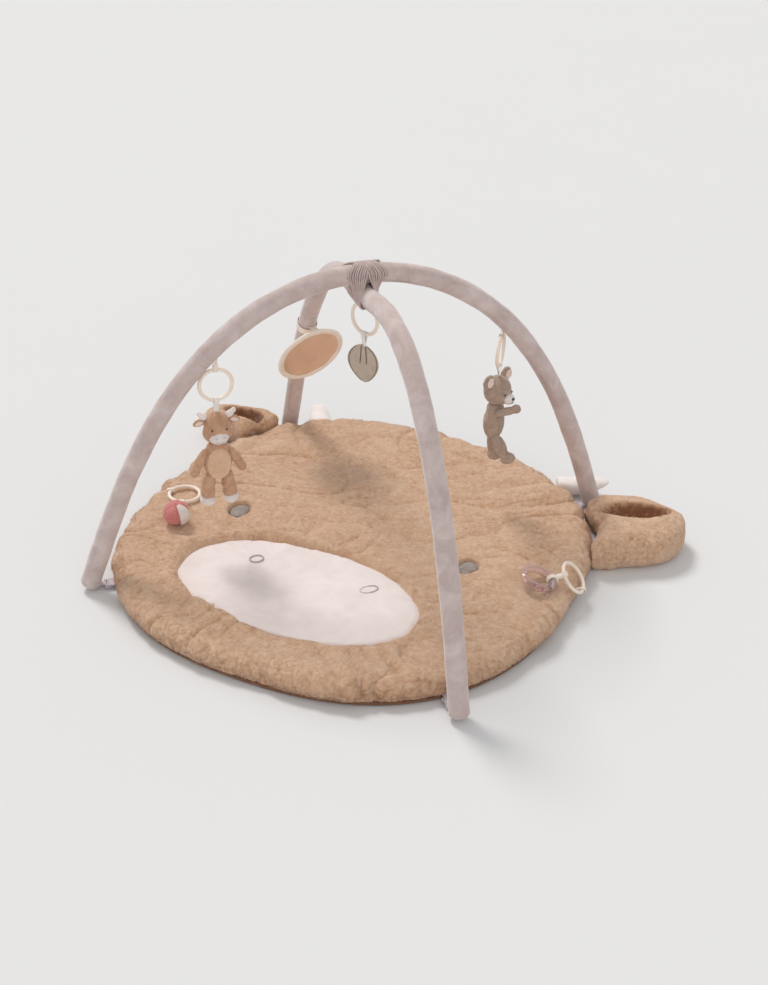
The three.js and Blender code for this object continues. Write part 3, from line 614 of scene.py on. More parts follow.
def folds(x, y):
    """Height of the mat's soft folds, in millimetres: radial gathers at the rim, broad waves inside."""
    angle = np.arctan2(y, x)
    reach = np.hypot(x, y)
    edge = outline_radius(angle)
    flat = np.stack([x, y, np.zeros_like(x)], 1)
    wander = 0.10 * noise(flat, 120, 3) + 0.05 * noise(flat, 55, 4)
    around = (angle + wander) * 400
    spin = np.stack([around, reach * 0.25, np.zeros_like(x)], 1)
    gathers = ridges(spin, 60, 11) - 0.6
    pleats = ridges(spin + 500, 21, 12) - 0.6
    near_rim = smooth_step(edge - 200, edge - 40, reach)
    at_rim = smooth_step(edge - 75, edge - 10, reach)
    turned = np.stack([0.35 * (0.9 * x + 0.44 * y), 0.9 * y - 0.44 * x, np.zeros_like(x)], 1)
    drift = np.stack([noise(flat, 120, 21), noise(flat, 130, 22), np.zeros_like(x)], 1) * 38
    waves = ridges(turned + drift, 58, 23) - 0.55
    creases = ridges(turned * np.array([1, 1, 0]) + 1.4 * drift + 300, 27, 24) - 0.6
    swell = noise(flat, 170, 31)
    to_muzzle = oval_share(x, y, "muzzle_patch", MUZZLE_SQUARENESS)
    muzzle_angle = np.arctan2((y - middle("muzzle_patch")[1] / MM) * 1.7, x - middle("muzzle_patch")[0] / MM)
    rays = ridges(np.stack([(muzzle_angle + wander) * 150, to_muzzle * 14, np.zeros_like(x)], 1), 26,
                  41) - 0.6
    by_muzzle = smooth_step(1.0, 1.12, to_muzzle) * (1 - smooth_step(1.45, 1.9, to_muzzle))
    rim_part = 15.0 * gathers * near_rim + 5.0 * pleats * at_rim
    inner_part = (13.0 * waves + 4.5 * creases) * (1 - 0.65 * at_rim) * (1 - 0.5 * by_muzzle)
    return rim_part + inner_part + 11.0 * rays * by_muzzle * (1 - 0.4 * at_rim) + 2.5 * swell


def keep_flat(x, y):
    """1 where a toy or ring lies on the mat, which is pressed flat there."""
    pressed = np.zeros_like(x)
    for name, spread in (("plush_ball", 16), ("ball_ring", 12), ("bead_rattle", 12), ("rattle_ring", 12),
                         ("ball_strap", 14), ("mat_loop_left", 14), ("rattle_knot", 12)):
        cx, cy, _ = middle(name) / MM
        width, length, _ = size(name) / MM
        away = np.hypot((x - cx) / (width / 2 + spread), (y - cy) / (length / 2 + spread))
        pressed = np.maximum(pressed, 1 - smooth_step(0.65, 1.9, away))
    return pressed


def sewn_in(x, y):
    """How deep the cover dips under the muzzle and the eyes, in millimetres, and the lip round them."""
    muzzle = oval_share(x, y, "muzzle_patch", MUZZLE_SQUARENESS)
    dip = 13 * (1 - smooth_step(0.955, 1.02, muzzle))
    lip = 4.0 * np.exp(-(((muzzle - 1.08) / 0.06) ** 2))
    for side in ("left", "right"):
        eye = oval_share(x, y, f"eye_patch_{side}", 2.0)
        dip = np.maximum(dip, 13 * (1 - smooth_step(1.0, 1.3, eye)))
        lip = lip + 1.5 * np.exp(-(((eye - 1.6) / 0.35) ** 2))
    return dip, lip


def cover_points(unit_x, unit_y):
    """The cover's smooth surface, its normals and the share of the way to its lower edge."""
    angle = np.arctan2(unit_y, unit_x)
    share = np.hypot(unit_x, unit_y)
    edge = outline_radius(angle)
    turns = np.linspace(math.pi / 2, RIM_END, 200)
    inset = RIM_DEPTH - 2 - RIM_DEPTH * np.cos(turns)
    height = RIM_CENTRE_Z + RIM_HEIGHT * np.sin(turns)
    steps = np.hypot(np.diff(inset), np.diff(height))
    length = np.concatenate([[0], np.cumsum(steps)])
    flat_reach = edge - inset[0]
    walked = share * (flat_reach + length[-1]) - flat_reach
    turn = np.interp(walked, length, turns)
    reach = np.where(walked < 0, flat_reach + walked, edge - np.interp(walked, length, inset))
    z = np.interp(walked, length, height)
    x = reach * np.cos(angle)
    y = reach * np.sin(angle)
    slope = np.where(walked < 0, 0.0, np.cos(turn))
    normal = np.stack([slope * np.cos(angle), slope * np.sin(angle),
                       np.where(walked < 0, 1.0, np.sin(turn))], 1)
    return np.stack([x, y, z], 1), normal, share


def mat_surface(unit_x, unit_y):
    """The cover with its folds and dips, before the pile. Returns points in millimetres and normals."""
    points, normal, share = cover_points(unit_x, unit_y)
    x, y = points[:, 0], points[:, 1]
    lift = folds(x, y)
    dip, lip = sewn_in(x, y)
    pressed = keep_flat(x, y)
    lift = np.minimum(lift, 7.5) * (1 - 0.9 * pressed) - 2.0 * pressed
    edge_fade = 1 - 0.75 * smooth_step(0.955, 1.0, share)
    points = points + normal * (lift * edge_fade)[:, None]
    points[:, 2] += (lip - dip) * np.clip(normal[:, 2], 0, 1)
    return points, normal


def build_mat():
    unit_x, unit_y = unit_disc(MAT_GRID)
    points, normal = mat_surface(unit_x, unit_y)
    points = points * MM
    height = pile_height(points, 7)
    points += normal * (height * 3.2 * MM)[:, None]
    share = np.hypot(unit_x, unit_y)
    points[:, 2] = np.maximum(points[:, 2], 3.5 * MM)
    cover = mesh_object("mat_cover", points, grid_faces(MAT_GRID, MAT_GRID), CAMEL, "mat",
                        "camel_plush", ("mat_cover", "mat_padding"))
    face_up(cover)
    # painted shade between the curls and painted light on their tips: the plush material colours by this
    # height
    set_attribute(cover.data, "pile", height)
    # painted shade on the lower part of the rolled rim, where it turns down
    set_attribute(cover.data, "painted_shade", 0.25 * smooth_step(0.93, 1.0, share))
    build_base()
    build_muzzle()
    for side in ("left", "right"):
        build_eye(side)
    for side in ("left", "right"):
        build_ear(side)
        build_horn(side)
    build_fur()


def face_up(piece):
    """Turns a sheet's faces over if they look down."""
    mesh = piece.data
    if sum(polygon.normal.z * polygon.area for polygon in mesh.polygons) < 0:
        mesh.flip_normals()


def build_base():
    """The brown base cloth: a thin pad with a piped, slightly wavy rim that shows under the plush."""
    count = 120
    unit_x, unit_y = unit_disc(count)
    angle = np.arctan2(unit_y, unit_x)
    share = np.hypot(unit_x, unit_y)
    edge = outline_radius(angle) - 7
    around = np.stack([np.cos(angle) * 400, np.sin(angle) * 400, np.zeros_like(angle)], 1)
    wave = 1.6 * noise(around, 30, 5)
    reach = share * (edge + wave)
    x = reach * np.cos(angle)
    y = reach * np.sin(angle)
    rise = smooth_step(0.94, 0.99, share)
    top = 2.2 + 6.8 * rise
    low = 1.2 * smooth_step(0.97, 1.0, share)
    vertices, faces = two_sided(np.stack([x, y, top], 1) * MM, np.stack([x, y, low], 1) * MM, count, count)
    base = solid_piece("mat_base_cloth", vertices, faces, BASE, "mat", "base_cloth", ("mat_base_cloth",))
    rim_angle = np.linspace(0, 2 * math.pi, 500, endpoint=False)
    rim = outline_radius(rim_angle) - 5.5
    path = np.stack([rim * np.cos(rim_angle), rim * np.sin(rim_angle), np.full_like(rim, 4.6)], 1) * MM
    solid_piece("mat_base_piping", *sweep(path, 3.4 * MM, 10, closed=True), BASE, "mat", "base_cloth")


def patch_sheet(name, node_name, squareness, level, puff, wrinkle, material, slot, count, seed):
    """A sewn-in oval of cloth: its middle puffs up and its edge is drawn down into the seam."""
    unit_x, unit_y = unit_disc(count)
    share = np.hypot(unit_x, unit_y)
    angle = np.arctan2(unit_y, unit_x)
    cx, cy, _ = middle(node_name) / MM
    width, length, _ = size(node_name) / MM
    edge = oval_radius(angle, width / 2, length / 2, squareness)
    x = cx + share * edge * np.cos(angle)
    y = cy + share * edge * np.sin(angle)
    flat = np.stack([x, y, np.zeros_like(x)], 1)
    drift = np.stack([noise(flat, 90, seed + 1), noise(flat, 90, seed + 2), np.zeros_like(x)], 1) * 20
    soft = noise(flat + drift, (70, 38, 50), seed + 3) + 0.35 * noise(flat + drift, 16, seed + 4)
    radial = np.stack([angle * 60, share * 2, np.zeros_like(x)], 1)
    gathered = noise(radial, 4.0, seed + 5) * smooth_step(0.8, 0.97, share)
    z = level + puff * (1 - share ** 4) - 3.0 * smooth_step(0.955, 1.0, share)
    z = z + wrinkle * soft * (1 - 0.5 * share) + 0.6 * wrinkle * gathered
    top = (np.stack([x, y, z], 1) * MM, grid_faces(count, count))
    piece = mesh_object(name, *top, material, "mat", slot, (node_name,))
    face_up(piece)
    thickened(piece, PATCH_THICKNESS)


def stitches(vertices):
    """The small swells of a line of stitching."""
    return 0.25 * MM * np.sin((vertices[:, 0] + vertices[:, 1]) * 2600)


def build_muzzle():
    patch_sheet("muzzle_patch", "muzzle_patch", MUZZLE_SQUARENESS, 41.5, 4.5, 2.6, MUZZLE, "muzzle_plush",
                150, 40)
    cx, cy, _ = middle("muzzle_patch") / MM
    for side, dx, dy, turn, half in (("left", -101.7, 43.8, 0.9, (12, 10)),
                                     ("right", 108.3, 52.5, 0.94, (16, 9))):
        angle = np.linspace(0, 2 * math.pi, 64, endpoint=False)
        along = half[0] * np.cos(angle)
        across = half[1] * np.sin(angle)
        x = cx + dx + along * math.cos(turn) - across * math.sin(turn)
        y = cy + dy + along * math.sin(turn) + across * math.cos(turn)
        path = np.stack([x, y, np.full_like(x, MUZZLE_TOP)], 1) * MM
        outline = sweep(path, 1.1 * MM, 10, closed=True, lumps=stitches)
        solid_piece(f"nostril_{side}", *outline, GREY_THREAD, "mat", "muzzle_plush")


def build_eye(side):
    name = f"eye_patch_{side}"
    patch_sheet(name, name, 2.0, 42.5, 3.0, 0.4, EYE, "eye_felt", 50, 60)


def from_cad(name, node_name, voxel, rounds):
    """A soft copy of a CAD node's shape."""
    piece = bpy.data.objects.new(name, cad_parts[node_name].data.copy())
    bpy.context.scene.collection.objects.link(piece)
    return remeshed(piece, voxel, rounds)


def pocket_share(points, side):
    """0 at the middle of an ear's pocket and 1 on its edge, and the way out from the middle, in metres."""
    centre, half, turn = EAR_POCKETS[side]
    away = points[:, :2] - np.array(centre) * MM
    along = away[:, 0] * math.cos(turn) + away[:, 1] * math.sin(turn)
    across = away[:, 1] * math.cos(turn) - away[:, 0] * math.sin(turn)
    return np.hypot(along / (half[0] * MM), across / (half[1] * MM)), away


def build_ear(side):
    name = f"ear_{side}"
    piece = from_cad(name, name, 4.5, 8)
    inflate(piece, 5 * MM, pressure=5.0)
    mesh = piece.data
    points = coordinates(mesh)
    root = np.array(middle("mat_cover")[:2])
    reach = np.linalg.norm(points[:, :2] - root, axis=1)
    low, high = reach.min(), reach.max()
    near_root = 1 - smooth_step(low, low + 0.45 * (high - low), reach)
    around = np.arctan2(points[:, 1] - root[1], points[:, 0] - root[0]) * 0.35
    lines = np.stack([around, points[:, 2] * 0.6, reach * 0.15], 1)
    gather = (ridges(lines, 15 * MM, 3) - 0.6) * 9.0 * MM * near_root
    soft = noise(points, 32 * MM, 8) * 1.8 * MM
    points = points + normals(mesh) * (gather + soft)[:, None]
    open_share, out_way = pocket_share(points, side)
    widen = 0.10 * np.exp(-(((open_share - 0.95) / 0.35) ** 2)) * smooth_step(22 * MM, 50 * MM, points[:, 2])
    points[:, :2] += out_way * widen[:, None]
    points[:, 2] = np.maximum(points[:, 2], 1.0 * MM)
    place(mesh, points)
    refined(piece)
    add_pile(piece, 3.2 * MM, 3)
    points = coordinates(piece.data)
    open_share, _ = pocket_share(points, side)
    # painted shade between the curls and painted light on their tips: the plush material colours by this
    # height
    set_attribute(piece.data, "pile", pile_height(points, 3))
    # painted shade inside the ear's hollow, darkest at its middle
    set_attribute(piece.data, "painted_shade", 0.5 * (1 - smooth_step(0.7, 1.2, open_share)))
    dressed(piece, CAMEL, name, (name,))


def build_horn(side):
    name = f"horn_{side}"
    piece = from_cad(name, name, 3.5, 6)
    inflate(piece, 4 * MM)
    mesh = piece.data
    points = coordinates(mesh)
    root = np.array(middle("mat_cover")[:2])
    reach = np.linalg.norm(points[:, :2] - root, axis=1)
    low, high = reach.min(), reach.max()
    share = (reach - low) / (high - low)
    taper = 1.12 - 0.42 * share
    points[:, 2] = points[:, 2] * (taper * 0.9) + 16 * MM * smooth_step(0.3, 1.0, share)
    creases = (ridges(np.stack([points[:, 0], points[:, 1], points[:, 2] * 0.5], 1), 16 * MM, 5) - 0.5)
    points = points + normals(mesh) * (creases * 1.6 * MM)[:, None]
    points[:, 2] = np.maximum(points[:, 2], 0.8 * MM)
    place(mesh, points)
    refined(piece)
    dressed(piece, HORN, name, (name,))


def build_fur():
    """Loose curls at the rim and round the muzzle, so that the plush has a soft edge."""
    rng = np.random.default_rng(5)
    count = 90000
    angle = rng.uniform(-math.pi, math.pi, count)
    share = np.sqrt(rng.uniform(0.0, 1.0, count))
    points, normal = mat_surface(share * np.cos(angle), share * np.sin(angle))
    muzzle = oval_share(points[:, 0], points[:, 1], "muzzle_patch", MUZZLE_SQUARENESS)
    eyes = np.minimum(*[oval_share(points[:, 0], points[:, 1], f"eye_patch_{side}", 2.0)
                        for side in ("left", "right")])
    edges = (share > 0.9) | (muzzle < 1.07)
    keep = edges & (muzzle > 1.0) & (eyes > 1.1) & (keep_flat(points[:, 0], points[:, 1]) < 0.4)
    points = points[keep] * MM
    normal = normal[keep]
    write_curls("mat_curls", points, normal, rng, "mat")


def write_curls(name, points, normal, rng, body):
    """Each curl is a bent, tapering blade of two quads."""
    count = len(points)
    brushed = 3.1 * noise(points, 70 * MM, 77)
    lean = np.stack([np.cos(brushed), np.sin(brushed), -0.25 * np.ones(count)], 1) * 1.2 + rng.normal(0,
            0.45, (count, 3))
    lean -= normal * np.sum(lean * normal, axis=1)[:, None]
    tip_way = normal * 0.6 + lean
    tip_way /= np.linalg.norm(tip_way, axis=1)[:, None]
    curl = np.cross(tip_way, rng.normal(0, 1, (count, 3)))
    curl /= np.linalg.norm(curl, axis=1)[:, None]
    width_way = np.cross(tip_way, curl)
    length = rng.uniform(2.5, 5.0, count)[:, None] * MM
    width = rng.uniform(0.25, 0.5, count)[:, None] * MM
    root = points + normal * 1.0 * MM
    mid = root + tip_way * length * 0.5 + curl * length * 0.12
    tip = root + tip_way * length * 0.85 + curl * length * 0.5
    vertices = np.stack([root - width_way * width, root + width_way * width, mid - width_way * width * 0.8,
                         mid + width_way * width * 0.8, tip], 1).reshape(-1, 3)
    vertices[:, 2] = np.maximum(vertices[:, 2], 1.5 * MM)
    start = np.arange(count) * 5
    quads = np.stack([start, start + 1, start + 3, start + 2], 1).tolist()
    tips = np.stack([start + 2, start + 3, start + 4], 1).tolist()
    piece = mesh_object(name, vertices, quads + tips, CAMEL, body, "camel_plush")
    # painted shade towards each curl's root, on top of a random tone per curl
    shade = rng.uniform(0.5, 1.0, count)
    set_attribute(piece.data, "pile",
                  np.stack([shade * 0.6, shade * 0.6, shade * 0.8, shade * 0.8, shade], 1).ravel())


# ---------------------------------------------------------------- the arches
def plan_crossing():
    a, b = ARCHES["arch_a"], ARCHES["arch_b"]
    first = np.array([math.cos(a["azimuth"]), math.sin(a["azimuth"])])
    second = np.array([math.cos(b["azimuth"]), math.sin(b["azimuth"])])
    offset = np.subtract(b["centre"], a["centre"])
    distance = (offset[0] * second[1] - offset[1] * second[0]) / (first[0] * second[1] - first[1] * second[0])
    return np.array(a["centre"]) + distance * first


CROSSING = plan_crossing()


def arch_path(name, dip=0.0):
    """Centreline of an arch, in millimetres."""
    arch = ARCHES[name]
    samples = 240
    share = (np.arange(samples) + 0.5) / samples
    slope = FOOT_SLOPE * np.cos(math.pi * share) + SHOULDER_SLOPE * np.cos(3 * math.pi * share)
    across = np.concatenate([[0], np.cumsum(np.cos(slope))])
    up = np.concatenate([[0], np.cumsum(np.sin(slope))])
    scale = 2 * arch["half_span"] / across[-1]
    along = across * scale - arch["half_span"]
    x = arch["centre"][0] + along * math.cos(arch["azimuth"])
    y = arch["centre"][1] + along * math.sin(arch["azimuth"])
    far = np.hypot(x - CROSSING[0], y - CROSSING[1]) / CROSSING_REACH
    return np.stack([x, y, FOOT_HEIGHT + up * scale - dip * np.exp(-(far ** 2))], 1)


def crossing_height(path):
    return path[np.argmin(np.hypot(path[:, 0] - CROSSING[0], path[:, 1] - CROSSING[1])), 2]


PATH_A = arch_path("arch_a")
CROSSING_DIP = crossing_height(arch_path("arch_b")) - (crossing_height(PATH_A) - 2 * SLEEVE_RADIUS
        - CROSSING_GAP)
PATH_B = arch_path("arch_b", CROSSING_DIP)


def build_sleeve(name, path, seed):
    """A velvet sleeve over foam: soft dents, a seam along its underside and drawn-in ends."""
    steps = np.linalg.norm(np.diff(path, axis=0), axis=1)
    length = np.concatenate([[0], np.cumsum(steps)])
    even = np.linspace(0, length[-1], 520)
    points = np.stack([np.interp(even, length, path[:, axis]) for axis in range(3)], 1)
    from_end = np.minimum(even, length[-1] - even)
    radius = SLEEVE_RADIUS * np.sqrt(1 - (1 - np.clip(from_end / 7, 0, 1)) ** 2 * 0.55)

    def lumps(vertices):
        slow = noise(vertices, 60 * MM, seed) * 0.7 * MM
        dents = noise(vertices, 17 * MM, seed + 1) * 0.45 * MM
        nap = noise(vertices, 4 * MM, seed + 2) * 0.18 * MM
        low = smooth_step(90 * MM, 10 * MM, vertices[:, 2])
        wrinkles = (ridges(vertices * np.array([0.4, 0.4, 1.0]), 11 * MM, seed + 3) - 0.5) * 1.1 * MM * low
        return slow + dents + nap + wrinkles

    sleeve = solid_piece(f"{name}_sleeve", *sweep(points * MM, (radius - 0.4) * MM, 40, lumps=lumps), VELVET,
                         "arches", "arch_velvet", (f"{name}_sleeve", f"{name}_foam"))
    _, _, other = frames_along(points)
    seam_way = other * (-1 if other[len(other) // 2][2] > 0 else 1)
    seam_path = points + seam_way * (SLEEVE_RADIUS - 0.4)
    solid_piece(f"{name}_seam", *sweep(seam_path[8:-8] * MM, 0.6 * MM, 8), VELVET, "arches", "arch_velvet")


def lashing_path(turn, offset):
    """A cord's closed path over arch A and under arch B, along azimuth turn and offset sideways."""
    top = crossing_height(PATH_A)
    low = crossing_height(PATH_B)
    shift_a = offset / math.tan(ARCHES["arch_a"]["azimuth"] - turn)
    shift_b = offset / math.tan(ARCHES["arch_b"]["azimuth"] - turn)
    reach = SLEEVE_RADIUS * math.sqrt(2) + 2.2
    rise = SLEEVE_RADIUS + 1.2
    cap = np.linspace(0, math.pi, 40)
    over = np.stack([shift_a + reach * np.cos(cap), top + rise * np.sin(cap)], 1)
    under = np.stack([shift_b - reach * np.cos(cap), low - rise * np.sin(cap)], 1)
    down = over[-1] + (under[0] - over[-1]) * np.linspace(0, 1, 10)[1:-1, None]
    up = under[-1] + (over[0] - under[-1]) * np.linspace(0, 1, 10)[1:-1, None]
    loop = np.vstack([over, down, under, up])
    waist = 1 - 0.10 * np.exp(-(((loop[:, 1] - (top + low) / 2) / 14) ** 2))
    along = loop[:, 0] * waist
    x = CROSSING[0] + along * math.cos(turn) - offset * math.sin(turn)
    y = CROSSING[1] + along * math.sin(turn) + offset * math.cos(turn)
    return np.stack([x, y, loop[:, 1]], 1)


def build_lashing():
    """Fine cords wound side by side over and under the crossing, in its two diagonal directions."""
    cords = []
    for turn in (0.0, math.pi / 2):
        for index in range(LASHING_CORDS):
            offset = (index - (LASHING_CORDS - 1) / 2) * LASHING_PITCH
            path = lashing_path(turn, offset)
            away = path - path.mean(axis=0)
            lift = 0.5 * math.sin(index * 2.1)
            path = path + away / np.linalg.norm(away, axis=1)[:, None] * lift
            cords.append(sweep(path * MM, 1.5 * MM, 8, closed=True))
    solid_piece("crown_lashing", *joined(cords), LASHING, "arches", "arch_velvet", ("crown_lashing",))


def build_arches():
    build_sleeve("arch_a", PATH_A, 1)
    build_sleeve("arch_b", PATH_B, 21)
    build_lashing()
    for name in ("arch_a_rod", "arch_b_rod"):
        finish_cad(name, ROD)
    for corner in ("front_left", "back_right", "front_right", "back_left"):
        for part in ("buckle_plug", "buckle_socket"):
            finish_cad(f"{part}_{corner}", BUCKLE)
        for part in ("mat_webbing", "arch_webbing"):
            finish_cad(f"{part}_{corner}", WEBBING)


def finish_cad(name, material):
    """A CAD node kept where it is: it gets the better material, and a modifier that rounds its edges."""
    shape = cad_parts[name]
    shape.data.materials.clear()
    shape.data.materials.append(material)
    rounded = shape.modifiers.new("Bevel", "BEVEL")
    rounded.width = EDGE_ROUNDING * MM
    rounded.segments = 2
    rounded.limit_method = "ANGLE"


# ---------------------------------------------------------------- rings, loops and toys
def ring_vertices(placing, radius=RING_RADIUS, bar=RING_BAR, around=96, sides=20):
    """A moulded ring with a faint parting line, in the local XZ plane."""
    angle = np.linspace(0, 2 * math.pi, around, endpoint=False)
    path = np.stack([radius * np.cos(angle), np.zeros_like(angle), radius * np.sin(angle)], 1) * MM
    vertices, faces = sweep(path, bar * MM, sides, closed=True)
    line = np.abs(vertices[:, 1]) < 0.3 * MM
    centre = path[np.arange(len(vertices)) // sides]
    vertices = vertices + (vertices - centre) * (line * 0.03)[:, None]
    return transformed(vertices, placing), faces


def transformed(vertices, placing):
    matrix = np.array(placing)
    return np.asarray(vertices) @ matrix[:3, :3].T + matrix[:3, 3]


def build_ring(name, placing):
    solid_piece(name, *ring_vertices(placing), RING, name, "cream_plastic", (name,))


def band(path, width_way, width, thickness):
    """A flat tape along a path: width_way is the direction across it."""
    path = np.asarray(path, dtype=float)
    tangents, _, _ = frames_along(path)
    width_way = np.asarray(width_way, dtype=float)
    out = np.cross(tangents, width_way)
    out /= np.linalg.norm(out, axis=1)[:, None]
    across = np.linspace(-1, 1, 9)
    profile = [(a, 1 - 0.5 * a ** 6) for a in across] + [(a, -(1 - 0.5 * a ** 6)) for a in across[::-1]]
    points = np.array([[p + width_way * width / 2 * a + o * thickness / 2 * b for a, b in profile]
                       for p, o in zip(path, out)])
    vertices = points.reshape(-1, 3)
    faces = grid_faces(len(path), len(profile), wrap_columns=True)
    faces.append(list(range(len(profile)))[::-1])
    faces.append([(len(path) - 1) * len(profile) + i for i in range(len(profile))])
    return vertices, faces


def folded_tape(placing, length, bar, width, thickness=1.1, closing=0.6):
    """A tape folded over a bar at the local origin, its two ends drawn together `length` below or above."""
    sign = 1 if length > 0 else -1
    radius = bar + 0.55 + thickness / 2
    angle = np.linspace(0, math.pi, 17)
    over = [(radius * math.cos(a), -sign * radius * math.sin(a)) for a in angle]
    reach = abs(length)
    runs = np.linspace(0, 1, 12)[1:]
    squeeze = radius - (radius - closing) * smooth_step(0.0, 0.75, runs)
    path = [(s, sign * reach * r) for s, r in zip(squeeze[::-1], runs[::-1])]
    path += over
    path += [(-s, sign * reach * r) for s, r in zip(squeeze, runs)]
    points = np.array([(0, y, z) for y, z in path]) * MM
    vertices, faces = band(points, (1, 0, 0), width * MM, thickness * MM)
    return transformed(vertices, placing), faces


def toy_placing(ring_node, facing):
    """The frame at a hanging ring's top bar, its -Y towards the way the toy faces."""
    top = middle(ring_node) + UP * RING_RADIUS * MM
    return Matrix.Translation(Vector(top)) @ Matrix.Rotation(facing, 4, "Z")


def hang_ring_and_strap(prefix, facing, loop_length):
    placing = toy_placing(f"{prefix}_ring", facing)
    centre = placing @ Matrix.Translation((0, 0, -RING_RADIUS * MM))
    build_ring(f"{prefix}_ring", centre)
    bottom = placing @ Matrix.Translation((0, 0, -2 * RING_RADIUS * MM))
    solid_piece(f"{prefix}_strap", *folded_tape(bottom, -23, RING_BAR, 8.5), TAPE, prefix, "white_tape",
                (f"{prefix}_strap",))
    solid_piece(f"toy_loop_{prefix}", *folded_tape(placing, loop_length, RING_BAR, 7.5), CREAM_CLOTH,
                "arches", "cream_fabric", (f"toy_loop_{prefix}",))
    return placing


def cord_piece(name, points, placing, radius, material, body, slot):
    path = transformed(np.array(points, dtype=float) * MM, placing)
    solid_piece(name, *sweep(path, radius * MM, 8), material, body, slot)


def small_blob(name, half, centre, turn, placing, material, body):
    return stuffed(name, [(half, centre, turn)], placing, material, body, voxel=max(0.5, min(half) / 4),
                   puff=0, nap=0.05, rounds=2)


def build_calf():
    placing = hang_ring_and_strap("calf", CALF_FACING, 18)
    top = -TOY_DROP
    mid = top - 60
    head = stuffed("calf_head", [
        ((22, 20, 27), (0, 0, top - 28), (0, 0, 0)),
        ((25, 19, 20), (0, -2, top - 38), (0, 0, 0)),
    ], placing, CALF, "calf", ("calf_head",), seed=2)
    muzzle = stuffed("calf_muzzle", [((17, 13, 12), (0, -13, top - 43), (0, 0, 0))], placing, HOOF, "calf",
                     voxel=1.8, seed=4)
    for sign, side in ((-1, "left"), (1, "right")):
        stuffed(f"calf_ear_{side}", [((12, 3.4, 7), (sign * 29, 1, top - 19), (0, sign * 0.3, 0))],
                placing, CALF,
                "calf", voxel=1.2, puff=0.5)
        stuffed(f"calf_ear_lining_{side}",
                [((8, 1.6, 4.2), (sign * 30, -2.1, top - 19.4), (0, sign * 0.3, 0))],
                placing, LINING, "calf", voxel=0.9, puff=0)
        stuffed(f"calf_horn_{side}", [((6, 5, 9), (sign * 23, 1, top - 8), (0, sign * 0.85, 0)),
                                      ((4.2, 4, 5), (sign * 29, 1, top - 2.5), (0, sign * 0.3, 0))],
                placing, HORN, "calf", voxel=1.2, puff=0.5)
        small_blob(f"calf_eye_{side}", (1.7, 1.0, 2.1), (sign * 12.5, -18.4, top - 27), (0, 0, 0), placing,
                   BLACK,
                   "calf")
        cord_piece(f"calf_nostril_{side}", [(sign * 5.5, -25.4, top - 40), (sign * 7, -25.0, top - 38),
                                            (sign * 8.6, -24.0, top - 39.5)], placing, 0.45, GREY_THREAD,
                                            "calf",
                   "calf_velour")
    smile = [(x, -24.9 + 0.03 * x * x, top - 49.0 + 0.05 * x * x) for x in np.linspace(-7, 7, 13)]
    cord_piece("calf_smile", smile, placing, 0.45, GREY_THREAD, "calf", "calf_velour")
    body = stuffed("calf_body",
                   [((25, 18, 33), (0, 0, mid - 34), (0, 0, 0)), ((20, 15, 18), (0, 0, mid - 12), (0, 0, 0))],
                   placing, CALF, "calf", ("calf_body",), seed=6)
    stuffed("calf_belly", [((21, 8, 31), (0, -12.0, mid - 34), (0.05, 0, 0))], placing, BELLY, "calf",
            voxel=1.8, seed=8)
    for sign, side in ((-1, "left"), (1, "right")):
        arm = stuffed(f"calf_arm_{side}", [((8.5, 8.5, 27), (sign * 31, -3, mid - 30), (0, sign * -0.5, 0)),
                                           ((8.5, 8.5, 9), (sign * 41, -4, mid - 49), (0, 0, 0))], placing,
                                           CALF,
                      "calf", seed=10, wrinkle=0.8)
        leg = stuffed(f"calf_leg_{side}", [((12, 12, 24), (sign * 17, -3, mid - 74), (0, sign * -0.12, 0)),
                                           ((13, 13, 15), (sign * 19, -4, mid - 90), (0, 0, 0))], placing,
                                           CALF,
                      "calf", seed=12, wrinkle=1.6)
        hoof = stuffed(f"calf_hoof_{side}", [((13.5, 15, 10), (sign * 20, -6, mid - 103), (0, 0, 0))],
                       placing, HOOF,
                       "calf", seed=14)


